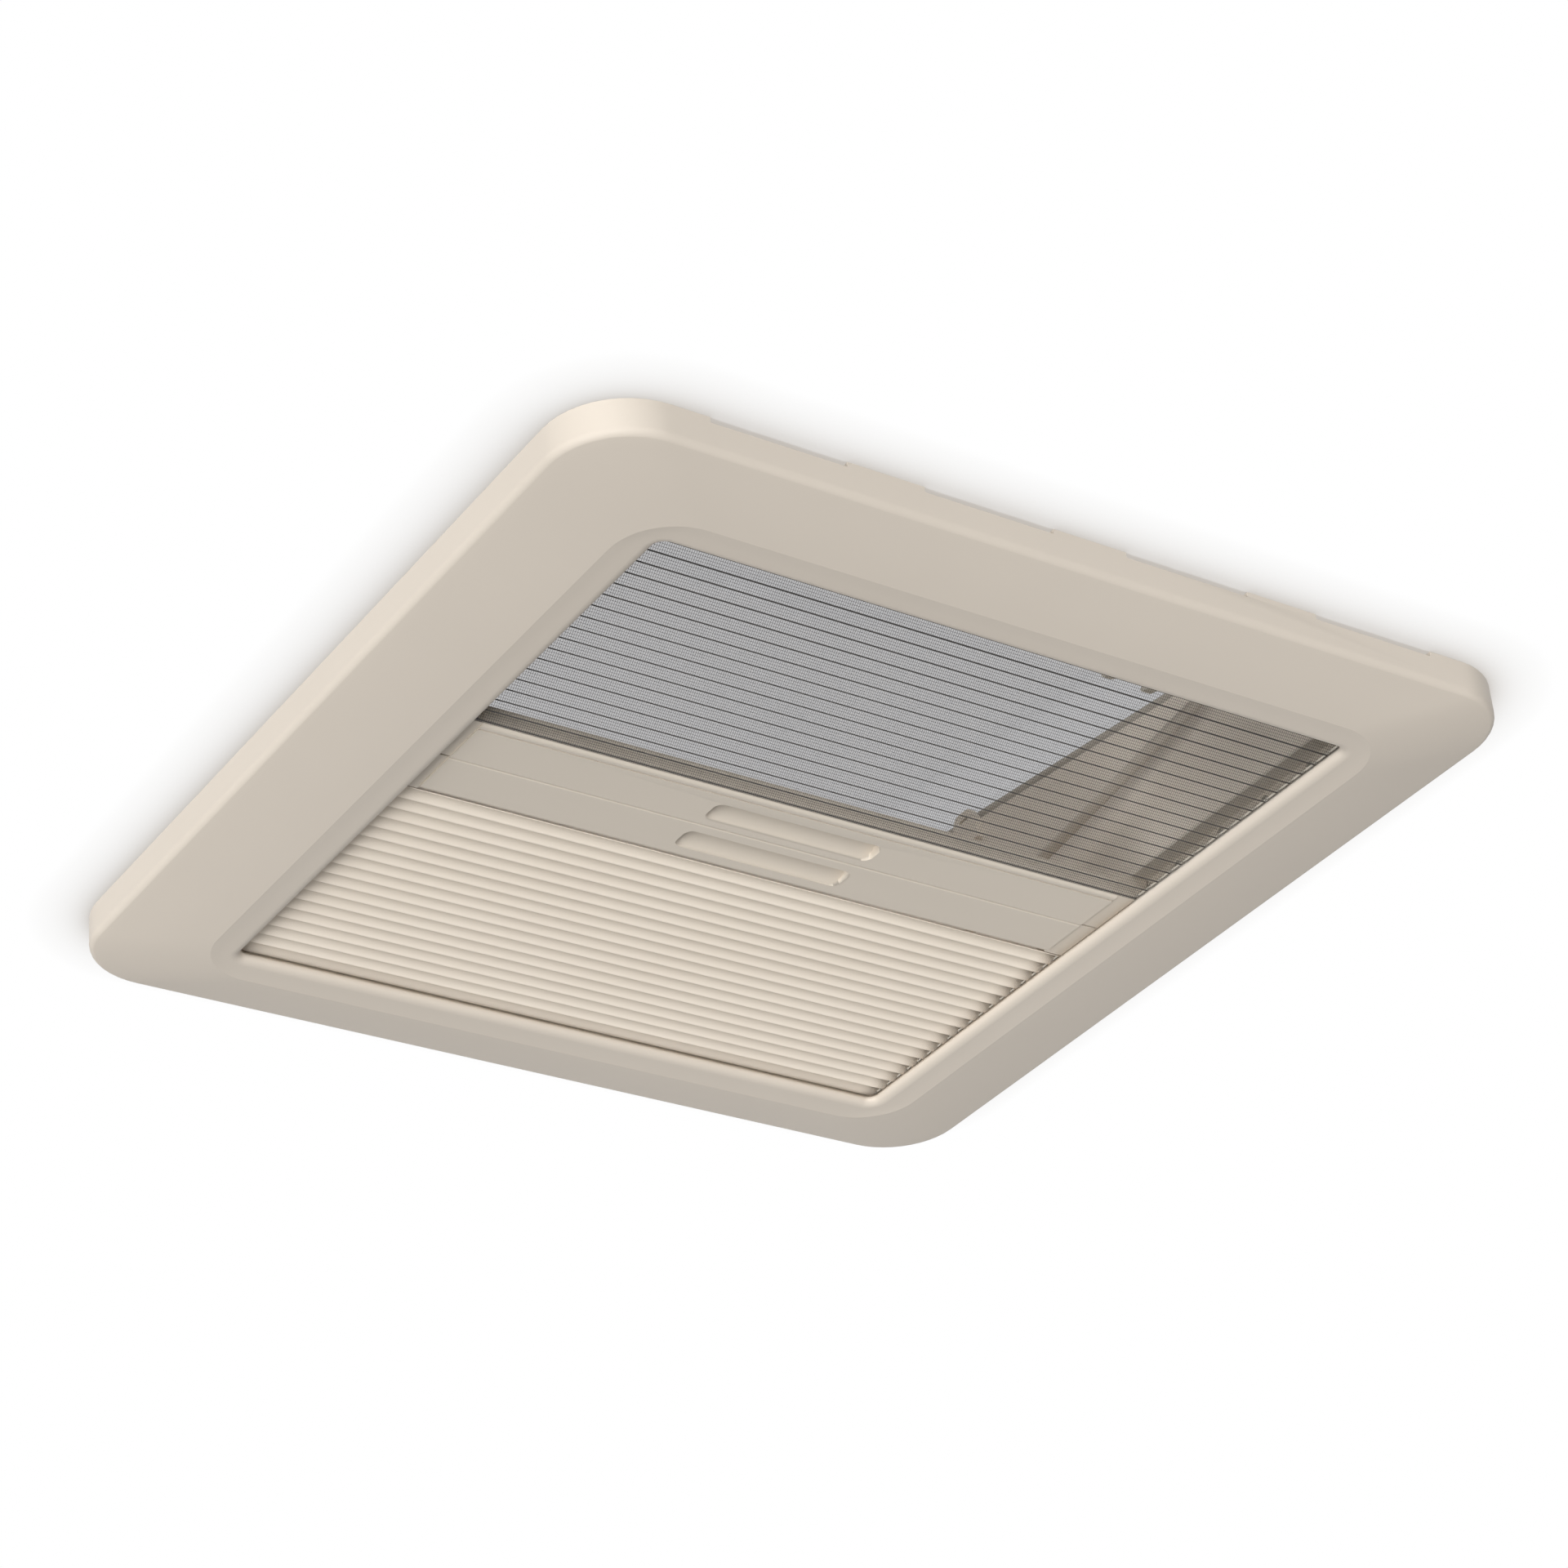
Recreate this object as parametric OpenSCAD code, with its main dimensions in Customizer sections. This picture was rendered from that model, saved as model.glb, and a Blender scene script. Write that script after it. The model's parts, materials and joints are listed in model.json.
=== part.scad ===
// Roof skylight for a caravan or camper: a hinged double dome on a wedge frame,
// a prop bail below it, and a trim frame with a flyscreen and a blackout blind.
// +Z points up and out of the roof. The origin is the centre of the roof cut-out
// on the roof's outer skin. The bars of the blinds run along X and travel along Y.

/* [Roof] */
// Thickness of the roof, from its outer skin to the ceiling
roof_t = 34; // [30:1:40]
// Side of the square cut-out in the roof
cutout_w = 400; // [398:1:404]

/* [Trim frame] */
// Outer side of the square trim frame
trim_w = 475; // [470:1:490]
// Corner radius of the trim frame's outer wall
trim_r = 36; // [30:1:44]
// Clear opening along the bars
open_w = 351.3; // [346:0.1:354]
// Clear opening across the bars
open_l = 369.2; // [362:0.1:372]
// Corner radius of the clear opening
open_r = 5; // [4:0.5:9]
// Depth of the opening's lip below the ceiling
lip_drop = 20.4; // [19:0.1:26]
// How far the ridge round the opening hangs below its lip
ridge_drop = 3.55; // [2.5:0.05:5]
// Distance from the lip out to the ridge
ridge_out = 16.2; // [13:0.1:20]
// Corner radius of the ridge
ridge_r = 28.5; // [22:0.5:34]
// Height of the straight outer wall above the lip's level
wall_foot = 7; // [6:0.5:9]
// Radius of the edge between the outer wall and the face
edge_r = 3.5; // [2:0.5:5]
// Wall thickness of the trim frame's moulding
trim_wall = 2.5; // [2:0.1:3]
// Width of the rounding along the lip
lip_round_w = 5; // [3:0.1:6]
// Height of the rounding along the lip
lip_round_h = 3.05; // [2:0.05:3.3]
// Length of each ventilation gap below the ceiling
vent_len = 64; // [40:1:80]
// Depth of each ventilation gap
vent_depth = 2.5; // [1.5:0.1:4]
// Spacing of the ventilation gaps
vent_pitch = 101; // [90:1:106]

/* [Blinds] */
// Place where the two bars touch, measured from the centre
meet_y = -1.35; // [-10:0.05:10]
// Width of the flyscreen's bar
fly_bar_w = 29.7; // [27:0.1:34]
// Width of the blackout blind's bar
dark_bar_w = 28.7; // [27:0.1:34]
// Height of both bars
bar_h = 10; // [9:0.5:11]
// Height of the bars' faces above the lip
bar_rise = 2.5; // [2.3:0.1:3]
// Length of each bar's moulding, without its end caps
bar_len = 336; // [330:1:340]
// Length of the finger grip in each bar
grip_len = 88.4; // [70:0.2:110]
// Width of the finger grip
grip_w = 14; // [11:0.5:16]
// Depth of the finger grip at its deep side
grip_depth = 6.5; // [5:0.1:7.5]
// Number of pleats in the flyscreen, which starts with a half one
fly_pleats = 17.5; // [11.5:1:23.5]
// Number of pleats in the blackout blind
dark_pleats = 18; // [12:1:24]
// Height of a pleat
pleat_h = 3.7; // [2.5:0.1:5]
// Thickness of the pleated cloth
cloth_t = 0.5; // [0.4:0.1:0.8]
// Diameter of the tension cords
cord_d = 1; // [0.8:0.1:1.4]

/* [Roof frame] */
// Clear width of the light shaft
shaft_w = 380; // [374:1:382]
// Thickness of the spigot's wall inside the cut-out
spigot_wall = 3; // [2.5:0.1:3.4]
// How far the spigot stops above the ceiling
spigot_short = 7.6; // [6:0.1:10]
// Outer side of the flange on the roof
flange_w = 464; // [456:1:480]
// Thickness of the flange
flange_t = 4; // [3:0.5:6]
// Width of the sealing tape under the flange
tape_w = 28; // [20:1:30]
// Thickness of the sealing tape
tape_t = 1.5; // [1:0.1:3]
// Thickness of the upstand's wall
upstand_wall = 4; // [3.5:0.1:5]
// Height of the rim above the roof at the centre
rim_z = 52.6; // [50:0.1:60]
// Slope of the rim, which rises towards the hinges
rim_tilt = 6.32; // [4:0.01:7]
// Width of the rim
rim_w = 11; // [10:0.5:13]

/* [Dome] */
// Side of the dome, measured along the rim
dome_w = 450; // [446:1:454]
// Rise of the outer pane above its edge
dome_rise = 36; // [30:1:50]
// Thickness of the outer pane
outer_t = 3; // [2.5:0.1:4]
// Thickness of the inner pane
inner_t = 2.5; // [2:0.1:3]
// Depth of the inner pane's pan
pan_rise = 14; // [12:0.5:16]
// Opening angle of the dome
dome_open = 50; // [30:1:50]
// Radius of the hinge pins
hinge_pin_r = 2.5; // [2:0.1:2.8]
// Distance of each hinge from the centre line
hinge_x = 130; // [100:1:150]

/* [Bail] */
// Diameter of the bail's rod
rod_d = 6; // [5:0.5:6.5]
// Distance of the bail's arms from the centre line
arm_x = 175.5; // [172:0.5:178]
// Place of the bail's pivots along Y
pivot_y = 160; // [155:1:165]
// Height of the bail's pivots above the roof's outer skin
pivot_z = -13.9; // [-16:0.1:-10]
// Place of the bail's crossbar along Y while the dome is shut
cross_y = -165; // [-168:1:-160]
// Height of the crossbar while the dome is shut
cross_z = 29; // [24:0.5:32]
// Degrees that the bail turns for each degree of the dome
bail_ratio = 1.11; // [1.08:0.01:1.14]
// Length of the grip on the crossbar
handle_len = 240; // [180:2:250]
// Travel of the release buttons
button_travel = 2.4; // [1.5:0.1:2.5]

/* [Hidden] */

$fn = 64;
// Segments of a rounded corner in the blended shells
corner_steps = 11;
// Smallest overlap that makes two cuts meet
eps = 0.01;
// Clearance between a part that slides and its guide
slide_gap = 0.3;
// Radial clearance of a turning pin
pin_gap = 0.05;

ceil_z = -roof_t;
lip_z = ceil_z - lip_drop;
spigot_z = ceil_z + spigot_short;
shaft_half = shaft_w / 2;
shaft_r = 22;

module round_rect(w, l, r) {
  square([w - 2 * r, l], center = true);
  square([w, l - 2 * r], center = true);
  for (x = [-1, 1], y = [-1, 1])
    translate([x * (w / 2 - r), y * (l / 2 - r)]) circle(r);
}

// A closed band between two rounded rectangles that share their corners' centres
module ring_band(half_x, half_y, r, wall, z0, z1) {
  translate([0, 0, z0]) linear_extrude(z1 - z0) difference() {
    round_rect(2 * (half_x + wall), 2 * (half_y + wall), r + wall);
    round_rect(2 * half_x, 2 * half_y, r);
  }
}

// A level of a shell is [half width, half length, corner radius, height]
function level_points(v) = [for (q = [0:3], k = [0:corner_steps])
  let (a = 90 * q + 90 * k / corner_steps, sx = q == 0 || q == 3 ? 1 : -1, sy = q < 2 ? 1 : -1)
  [sx * (v[0] - v[2]) + v[2] * cos(a), sy * (v[1] - v[2]) + v[2] * sin(a), v[3]]];

// Skins a shell over its levels; a loop of levels closes on itself, other shells are capped
module shell(levels, loop = false) {
  n = 4 * (corner_steps + 1);
  m = len(levels);
  points = [for (v = levels) each level_points(v)];
  walls = [for (i = [0:(loop ? m : m - 1) - 1], k = [0:n - 1])
    let (a = i * n + k, b = i * n + (k + 1) % n, c = (i + 1) % m * n + (k + 1) % n,
      d = (i + 1) % m * n + k)
    each [[a, b, c], [a, c, d]]];
  caps = loop ? [] : [[for (k = [n - 1:-1:0]) k], [for (k = [0:n - 1]) (m - 1) * n + k]];
  polyhedron(points = points, faces = concat(walls, caps), convexity = 6);
}

// Runs a 2D profile round a rounded rectangle: X points outwards, Y points up
module sweep_ring(half_x, half_y, r) {
  for (side = [0, 180]) rotate([0, 0, side]) {
    translate([half_x, half_y - r, 0]) rotate([90, 0, 0])
      linear_extrude(2 * (half_y - r)) children();
    rotate([0, 0, 90]) translate([half_y, half_x - r, 0]) rotate([90, 0, 0])
      linear_extrude(2 * (half_x - r)) children();
    translate([half_x - r, half_y - r, 0]) rotate_extrude(angle = 90)
      translate([r, 0]) children();
    translate([-(half_x - r), half_y - r, 0]) rotate([0, 0, 90])
      rotate_extrude(angle = 90) translate([r, 0]) children();
  }
}

// Stretches a profile of Y and Z along X, centred
module along_x(len) {
  rotate([90, 0, 90]) translate([0, 0, -len / 2]) linear_extrude(len) children();
}

// A cylinder along X, centred
module rod_x(r, len) {
  rotate([0, 90, 0]) cylinder(r = r, h = len, center = true);
}

function arc(cx, cy, r, a0, a1, n) =
  [for (i = [0:n]) let (a = a0 + (a1 - a0) * i / n) [cx + r * cos(a), cy + r * sin(a)]];

// Trim frame: the moulding that covers the cut-out's edge from the room

trim_half = trim_w / 2;
open_x = open_w / 2;
open_y = open_l / 2;
ridge_x = open_x + ridge_out;
ridge_y = open_y + ridge_out;
ridge_z = lip_z - ridge_drop;
face_bulge = 0.5;
// Makes the bevel run out level beside the lip's rounding
bevel_dish = (ridge_drop - lip_round_h) / 4;
// Width of the flat that the ridge ends in
ridge_land = 0.3;
floor_z = lip_z + 1.6;
cavity_half = trim_half - trim_wall;
vent_places = [-1.5, -0.5, 0.5, 1.5];
vent_r = 0.8;
rib_places = [-165, -45, 45, 165];
rib_t = 1.8;
rib_in = ridge_x + 6;
rib_top = ceil_z - vent_depth - 0.5;

// Guide rails: C channels on the cavity's floor that carry the ends of both bars
rail_out = open_x + 13.35;
rail_web = 1.4;
rail_flange = 1.4;
rail_depth = 11;
rail_h = 16.2;
rail_z = floor_z;
rail_len = open_l + 23;
channel_out = rail_out - rail_web;
channel_z0 = rail_z + rail_flange;
channel_z1 = rail_z + rail_h - rail_flange;
ledge_t = 1.8;
ledge_h = rail_h - 1;
// The cavity's floor is level as far as this
flat_x = rail_out + ledge_t + 1;
flat_y = rail_len / 2 + 1;
flat_r = 6;

function blend(a, b, t) = a + (b - a) * t;
function blend_level(a, b, t) = [for (i = [0:3]) blend(a[i], b[i], t)];
function square_level(half, r, z) = [half, half, r, z];
function lowered(v, d) = [v[0], v[1], v[2], v[3] - d];

// The face bulges a little between the outer edge and the ridge
edge_level = square_level(trim_half - edge_r, trim_r - edge_r, lip_z + wall_foot - edge_r);
ridge_level = [ridge_x, ridge_y, ridge_r, ridge_z];
land_level = [ridge_x - ridge_land, ridge_y - ridge_land, ridge_r, ridge_z];
round_level = [open_x + lip_round_w, open_y + lip_round_w, open_r + lip_round_w,
  lip_z - lip_round_h];

// From the ceiling down the wall, over the face, ridge, bevel and lip, and back up inside
trim_levels = concat(
  [square_level(trim_half, trim_r, ceil_z)],
  [for (a = [0:15:75]) square_level(trim_half - edge_r * (1 - cos(a)),
    trim_r - edge_r * (1 - cos(a)), lip_z + wall_foot - edge_r * sin(a))],
  [for (t = [0.08, 0.25, 0.5, 0.75]) lowered(blend_level(edge_level, ridge_level, t),
    face_bulge * 4 * t * (1 - t))],
  [ridge_level, land_level],
  [for (t = [0.25, 0.5, 0.75]) lowered(blend_level(land_level, round_level, t),
    -bevel_dish * 4 * t * (1 - t))],
  [for (a = [-90:-10:-180]) let (o = lip_round_w * (1 + cos(a)))
    [open_x + o, open_y + o, open_r + o, lip_z + lip_round_h * sin(a)]],
  [[open_x, open_y, open_r, floor_z], [flat_x, flat_y, flat_r, floor_z],
    square_level(trim_half - 2 * trim_wall, trim_r - 2 * trim_wall,
      lip_z + wall_foot - edge_r + trim_wall),
    square_level(cavity_half, trim_r - trim_wall, lip_z + wall_foot + 2),
    square_level(cavity_half, trim_r - trim_wall, ceil_z)]);

module trim_vents() {
  for (k = vent_places)
    translate([k * vent_pitch, -trim_half + trim_wall / 2, ceil_z])
      rotate([90, 0, 0]) translate([0, 0, -trim_wall])
        linear_extrude(2 * trim_wall) round_rect(vent_len, 2 * vent_depth, vent_r);
}

// Stiffening ribs inside the cavity, clear of the clamp brackets
rib_sink = 1;
rib_head = 8;
rib_foot = 6;

module trim_ribs() {
  rib = [[rib_in, floor_z - 0.3], [trim_half - 7, lip_z + wall_foot - 2.2],
    [cavity_half + rib_sink, lip_z + wall_foot + rib_sink], [cavity_half + rib_sink, rib_top],
    [cavity_half - rib_head, rib_top], [rib_in, floor_z + rib_foot]];
  for (turn = [0:90:270], p = rib_places)
    rotate([0, 0, turn]) translate([0, p + rib_t / 2, 0])
      rotate([90, 0, 0]) linear_extrude(rib_t) polygon(rib);
}

// Snap tabs that hook over the bead round the spigot's foot
bead_h = 3;
bead_out = 1.2;
tab_places = [-50, 50];
tab_w = 18;
tab_t = 2;
tab_in = shaft_half + spigot_wall + bead_out + 0.6;
nose_z = spigot_z + bead_h + 0.4;
nose_in = 1.3;
nose_h = 3;

module snap_tabs() {
  tab = [[tab_in, floor_z - 0.5], [tab_in + tab_t, floor_z - 0.5],
    [tab_in + tab_t, nose_z + nose_h], [tab_in, nose_z + nose_h],
    [tab_in - nose_in, nose_z + 0.8], [tab_in - nose_in, nose_z], [tab_in, nose_z]];
  for (turn = [0:90:270], p = tab_places)
    rotate([0, 0, turn]) translate([0, p + tab_w / 2, 0])
      rotate([90, 0, 0]) linear_extrude(tab_w) polygon(tab);
}

module rail_ledges() {
  for (s = [-1, 1])
    translate([s * (rail_out + ledge_t / 2), 0, floor_z - 0.5 + ledge_h / 2])
      cube([ledge_t, rail_len, ledge_h], center = true);
}

module trim_frame() {
  color("antiquewhite") {
    difference() {
      shell(trim_levels, loop = true);
      trim_vents();
    }
    trim_ribs();
    snap_tabs();
    rail_ledges();
  }
}

rivet_pitch = 32;
rivet_shift = 11;
rivet_z = rail_z + 11.5;
rivet_head_r = 2.2;
rivet_head_t = 0.7;
rivet_shank_r = 1.2;
rivet_count = 11;

function rivet_y(i) = (i - (rivet_count - 1) / 2) * rivet_pitch + rivet_shift;

module guide_rail() {
  difference() {
    translate([rail_out - rail_depth, -rail_len / 2, rail_z]) cube([rail_depth, rail_len, rail_h]);
    translate([rail_out - rail_depth - 1, -rail_len / 2 - 1, channel_z0])
      cube([rail_depth + 1 - rail_web, rail_len + 2, channel_z1 - channel_z0]);
    for (i = [0:rivet_count - 1])
      translate([rail_out, rivet_y(i), rivet_z]) rod_x(rivet_shank_r, 4 * rail_web);
  }
}

module guide_rail_right() { color("wheat") guide_rail(); }
module guide_rail_left() { color("wheat") mirror([1, 0, 0]) guide_rail(); }

module rail_rivets() {
  color("gainsboro") for (s = [-1, 1], i = [0:rivet_count - 1])
    translate([s * rail_out, rivet_y(i), rivet_z]) {
      translate([-s * rail_web / 2, 0, 0]) rod_x(rivet_shank_r, rail_web);
      translate([-s * (rail_web + rivet_head_t / 2), 0, 0]) rod_x(rivet_head_r, rivet_head_t);
    }
}

// Blinds: pleated cloths between an end rail and a travelling bar
cap_gap = rivet_head_t + slide_gap;
cap_out = channel_out - cap_gap;
cloth_half = channel_out - 3.6;
cord_x = [rail_out - 10, rail_out - 7];
cord_bore_r = cord_d / 2 + 0.5;
cord_len = open_l + 18;
// Inner faces of the two end rails
fly_rail_y = open_y - 0.4;
dark_rail_y = open_y + 1.4;
end_rail_w = 8;
end_rail_h = 10;
cloth_gap = 0.2;
pleat_z = channel_z0 + 0.2;
cord_z = pleat_z + (pleat_h + cloth_t) / 2;

module cord_bores(r) {
  for (s = [-1, 1], x = cord_x)
    translate([s * x, 0, cord_z]) rotate([90, 0, 0])
      cylinder(r = r, h = cord_len + 10, center = true, $fn = 24);
}

// An end rail that starts at y0
module end_rail(y0) {
  difference() {
    translate([-channel_out + slide_gap, y0, channel_z0 + slide_gap])
      cube([2 * (channel_out - slide_gap), end_rail_w, end_rail_h]);
    cord_bores(cord_d / 2 + 0.1);
  }
}

module flyscreen_end_rail() { color("antiquewhite") end_rail(-fly_rail_y - end_rail_w); }
module blackout_end_rail() { color("antiquewhite") end_rail(dark_rail_y); }

module tension_cords() {
  color("white") for (s = [-1, 1], x = cord_x)
    translate([s * x, 0, cord_z]) rotate([90, 0, 0])
      cylinder(r = cord_d / 2, h = cord_len, center = true, $fn = 24);
}

// Folds from a low one at y0 to y1
function zigzag(y0, y1, n, z) =
  [for (i = [0:2 * n]) [blend(y0, y1, i / (2 * n)), z + (i % 2) * pleat_h]];
function turned(p) = [for (i = [len(p) - 1:-1:0]) p[i]];

module pleated_cloth(y0, y1, n) {
  difference() {
    along_x(2 * cloth_half)
      polygon(concat(zigzag(y0, y1, n, pleat_z), turned(zigzag(y0, y1, n, pleat_z + cloth_t))));
    cord_bores(cord_bore_r);
  }
}

fly_bar_y = meet_y - slide_gap / 2 - fly_bar_w;
dark_bar_y = meet_y + slide_gap / 2;
bar_z = lip_z + bar_rise;

module flyscreen_net() {
  color("dimgray")
    pleated_cloth(fly_bar_y - cloth_gap, -fly_rail_y + cloth_gap, fly_pleats);
}

module blackout_cloth() {
  color("antiquewhite")
    pleated_cloth(dark_bar_y + dark_bar_w + cloth_gap, dark_rail_y - cloth_gap, dark_pleats);
}

// The finger grip is a pocket with a floor that slopes up to its far side
grip_r = 4.5;
grip_shallow = 1.3;
fly_grip_y = meet_y - 12;
dark_grip_y = meet_y + 13;

module grip_pocket(y) {
  pocket = [[y - grip_w, bar_z - 1], [y + grip_w, bar_z - 1], [y + grip_w, bar_z + grip_shallow],
    [y + grip_w / 2, bar_z + grip_shallow], [y - grip_w / 2 + 5, bar_z + grip_depth],
    [y - grip_w, bar_z + grip_depth]];
  intersection() {
    translate([0, y, bar_z - 1]) linear_extrude(grip_depth + 1)
      round_rect(grip_len, grip_w, grip_r);
    along_x(grip_len) polygon(pocket);
  }
}

nose_r = 2.5;
meet_r = 1;
soft_r = 0.6;
line_in = 4;
line_w = 0.8;
line_d = 0.4;
step_w = 1.6;
step_h = 0.9;

// Profile of a bar from its outer edge at y0 to its meeting edge at y0 + w
module fly_profile(y0, w) {
  difference() {
    polygon(concat(
      arc(y0 + nose_r, bar_z + nose_r, nose_r, 180, 270, 8),
      arc(y0 + w - soft_r, bar_z + soft_r, soft_r, 270, 360, 4),
      [[y0 + w, bar_z + bar_h], [y0, bar_z + bar_h]]));
    translate([y0 + line_in, bar_z - 1]) square([line_w, 1 + line_d]);
  }
}

module dark_profile(y0, w) {
  polygon(concat(
    arc(y0 + meet_r, bar_z + meet_r, meet_r, 180, 270, 5),
    [[y0 + w - 2 * step_w, bar_z], [y0 + w - 2 * step_w, bar_z + step_h],
      [y0 + w - step_w, bar_z + step_h], [y0 + w - step_w, bar_z + 2 * step_h],
      [y0 + w, bar_z + 2 * step_h]],
    [[y0 + w, bar_z + bar_h], [y0, bar_z + bar_h]]));
}

module flyscreen_bar() {
  color("antiquewhite") difference() {
    along_x(bar_len) fly_profile(fly_bar_y, fly_bar_w);
    grip_pocket(fly_grip_y);
  }
}

module blackout_bar() {
  color("antiquewhite") difference() {
    along_x(bar_len) dark_profile(dark_bar_y, dark_bar_w);
    grip_pocket(dark_grip_y);
  }
}

cap_in_y = 0.4;

module bar_caps(y0, w) {
  difference() {
    for (s = [-1, 1])
      translate([s * (bar_len / 2 + cap_out) / 2, y0 + w / 2, (channel_z0 + channel_z1) / 2])
        cube([cap_out - bar_len / 2, w - 2 * cap_in_y, channel_z1 - channel_z0 - 2 * slide_gap],
          center = true);
    cord_bores(cord_bore_r);
  }
}

module flyscreen_bar_caps() { color("tan") bar_caps(fly_bar_y, fly_bar_w); }
module blackout_bar_caps() { color("tan") bar_caps(dark_bar_y, dark_bar_w); }

// Roof frame: flange, spigot and wedge-shaped upstand in one moulding
upstand_half = shaft_half + upstand_wall;
rim_t = 3;
clamp_places = [-115, 115];
boss_r = 4.2;
boss_clear = 1;
boss_out = cutout_w / 2 - boss_r - boss_clear;
boss_top = -2;
screw_r = 1.9;
gusset_places = [-150, -90, -30, 30, 90, 150];
gusset_out = 18;
gusset_h = 14;
gusset_t = 2.4;
gusset_toe = 2;
gusset_head = 3;
lug_y = 99.8;
lug_w = 19;
lug_h = 6.7;
lug_t = 3.4;
lug_root = 12;
lug_round = 5;
lug_slot = [7, 1.6];
lug_slot_up = 1.8;
reach = 300;

module on_rim() {
  translate([0, 0, rim_z]) rotate([rim_tilt, 0, 0]) children();
}

module rim_slab(w0, w1) {
  on_rim() translate([-reach, -reach, w0]) cube([2 * reach, 2 * reach, w1 - w0]);
}

module clamp_spots() {
  for (turn = [0:90:270], p = clamp_places)
    rotate([0, 0, turn]) translate([boss_out, p, 0]) children();
}

// A small lug with a slot on each side wall, standing above the rim
module rim_lug() {
  base = rim_z + lug_y * tan(rim_tilt);
  translate([shaft_half - lug_t, lug_y, base]) rotate([90, 0, 90])
    linear_extrude(lug_t + eps) difference() {
      polygon(concat([[-lug_w / 2, -lug_root], [lug_w / 2, -lug_root], [lug_w / 2, 0]],
        arc(lug_w / 2 - lug_round - 1, lug_h - lug_round, lug_round, 10, 90, 6),
        arc(-lug_w / 2 + lug_round + 2, lug_h - lug_round, lug_round, 90, 170, 6),
        [[-lug_w / 2, 0]]));
      translate([0, lug_slot_up]) square(lug_slot, center = true);
    }
}

module roof_frame() {
  color("ivory") difference() {
    union() {
      ring_band(shaft_half, shaft_half, shaft_r, flange_w / 2 - shaft_half, tape_t,
        tape_t + flange_t);
      intersection() {
        ring_band(shaft_half, shaft_half, shaft_r, upstand_wall, tape_t, rim_z + 60);
        rim_slab(-reach, 0);
      }
      intersection() {
        ring_band(shaft_half, shaft_half, shaft_r, rim_w, tape_t, rim_z + 60);
        rim_slab(-rim_t, 0);
      }
      ring_band(shaft_half, shaft_half, shaft_r, spigot_wall, spigot_z, tape_t + eps);
      ring_band(shaft_half, shaft_half, shaft_r, spigot_wall + bead_out, spigot_z,
        spigot_z + bead_h);
      clamp_spots() translate([0, 0, spigot_z])
        cylinder(r = boss_r, h = boss_top - spigot_z);
      for (turn = [0:90:270], p = gusset_places)
        rotate([0, 0, turn]) translate([upstand_half - eps, p + gusset_t / 2, tape_t + flange_t])
          rotate([90, 0, 0]) linear_extrude(gusset_t)
            polygon([[0, -eps], [gusset_out, -eps], [gusset_out, gusset_toe],
              [gusset_head, gusset_h], [0, gusset_h]]);
      for (s = [0, 1]) mirror([s, 0, 0]) rim_lug();
    }
    clamp_spots() translate([0, 0, spigot_z - 1])
      cylinder(r = screw_r + pin_gap, h = boss_top - spigot_z - 3);
  }
}

tape_inset = 2;
tape_in = flange_w / 2 - tape_inset - tape_w;

module sealing_tape() {
  color("gray") ring_band(tape_in, tape_in, shaft_r + tape_in - shaft_half, tape_w, 0, tape_t);
}

seal_path = shaft_half + rim_w / 2;
seal_r = 3.6;
seal_h = 7.7;
seal_wall = 1.1;

module rim_seal() {
  color("black") on_rim() sweep_ring(seal_path, seal_path + 1.2, shaft_r + rim_w / 2)
    difference() {
      union() {
        translate([0, seal_h - seal_r]) circle(seal_r, $fn = 32);
        translate([-4, 0]) square([8, 1.6]);
      }
      translate([0, seal_h - seal_r]) circle(seal_r - seal_wall, $fn = 32);
    }
}

// Clamp brackets grip the ceiling, drawn up by screws into the spigot's bosses
bracket_t = 3;
bracket_w = 26;
bracket_in = 5;
bracket_clear = 9.2;
bracket_foot = cavity_half - boss_out - bracket_clear;
bracket_rib_t = 2;
bracket_rib_h = 2;
head_r = 3.6;
head_h = 2.5;
screw_tip = 6;

module clamp_brackets() {
  color("silver") clamp_spots() difference() {
    union() {
      translate([-bracket_in + 1, -bracket_w / 2, ceil_z - bracket_t])
        cube([bracket_foot + bracket_in - 1, bracket_w, bracket_t]);
      for (y = [-bracket_w / 2, bracket_w / 2 - bracket_rib_t])
        translate([0, y, ceil_z - bracket_t - bracket_rib_h])
          cube([bracket_foot, bracket_rib_t, bracket_rib_h + eps]);
    }
    translate([0, 0, ceil_z - bracket_t - 1]) cylinder(r = screw_r + 0.3, h = bracket_t + 2);
  }
}

module clamp_screws() {
  color("silver") clamp_spots() {
    translate([0, 0, ceil_z - bracket_t - head_h]) difference() {
      cylinder(r = head_r, h = head_h);
      translate([0, 0, -1]) cylinder(r = 1.6, h = 2.4, $fn = 6);
    }
    translate([0, 0, ceil_z - bracket_t - eps])
      cylinder(r = screw_r, h = boss_top - screw_tip - ceil_z + bracket_t);
  }
}

// Hinges on the high side of the rim
hinge_v = dome_w / 2 + 7;
hinge_w = 2;
leaf_w = 40;
ear_t = 5;
ear_gap = 0.4;
ear_r = 5.8;
barrel_r = 4.8;
axis_y = hinge_v * cos(rim_tilt) - hinge_w * sin(rim_tilt);
axis_z = rim_z + hinge_v * sin(rim_tilt) + hinge_w * cos(rim_tilt);
bracket_half = leaf_w / 2 + ear_gap + ear_t;
arm_top = -5.5;
arm_low = arm_top - 4.5;
gusset_root = 30;
plate_w = 2 * bracket_half + 8;
plate_drop = 46;
plate_t = 3;
hinge_screw_x = 12;
hinge_screw_z = axis_z - 36;
hinge_screw_r = 1.7;
hinge_screw_head = [3.2, 2];

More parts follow.
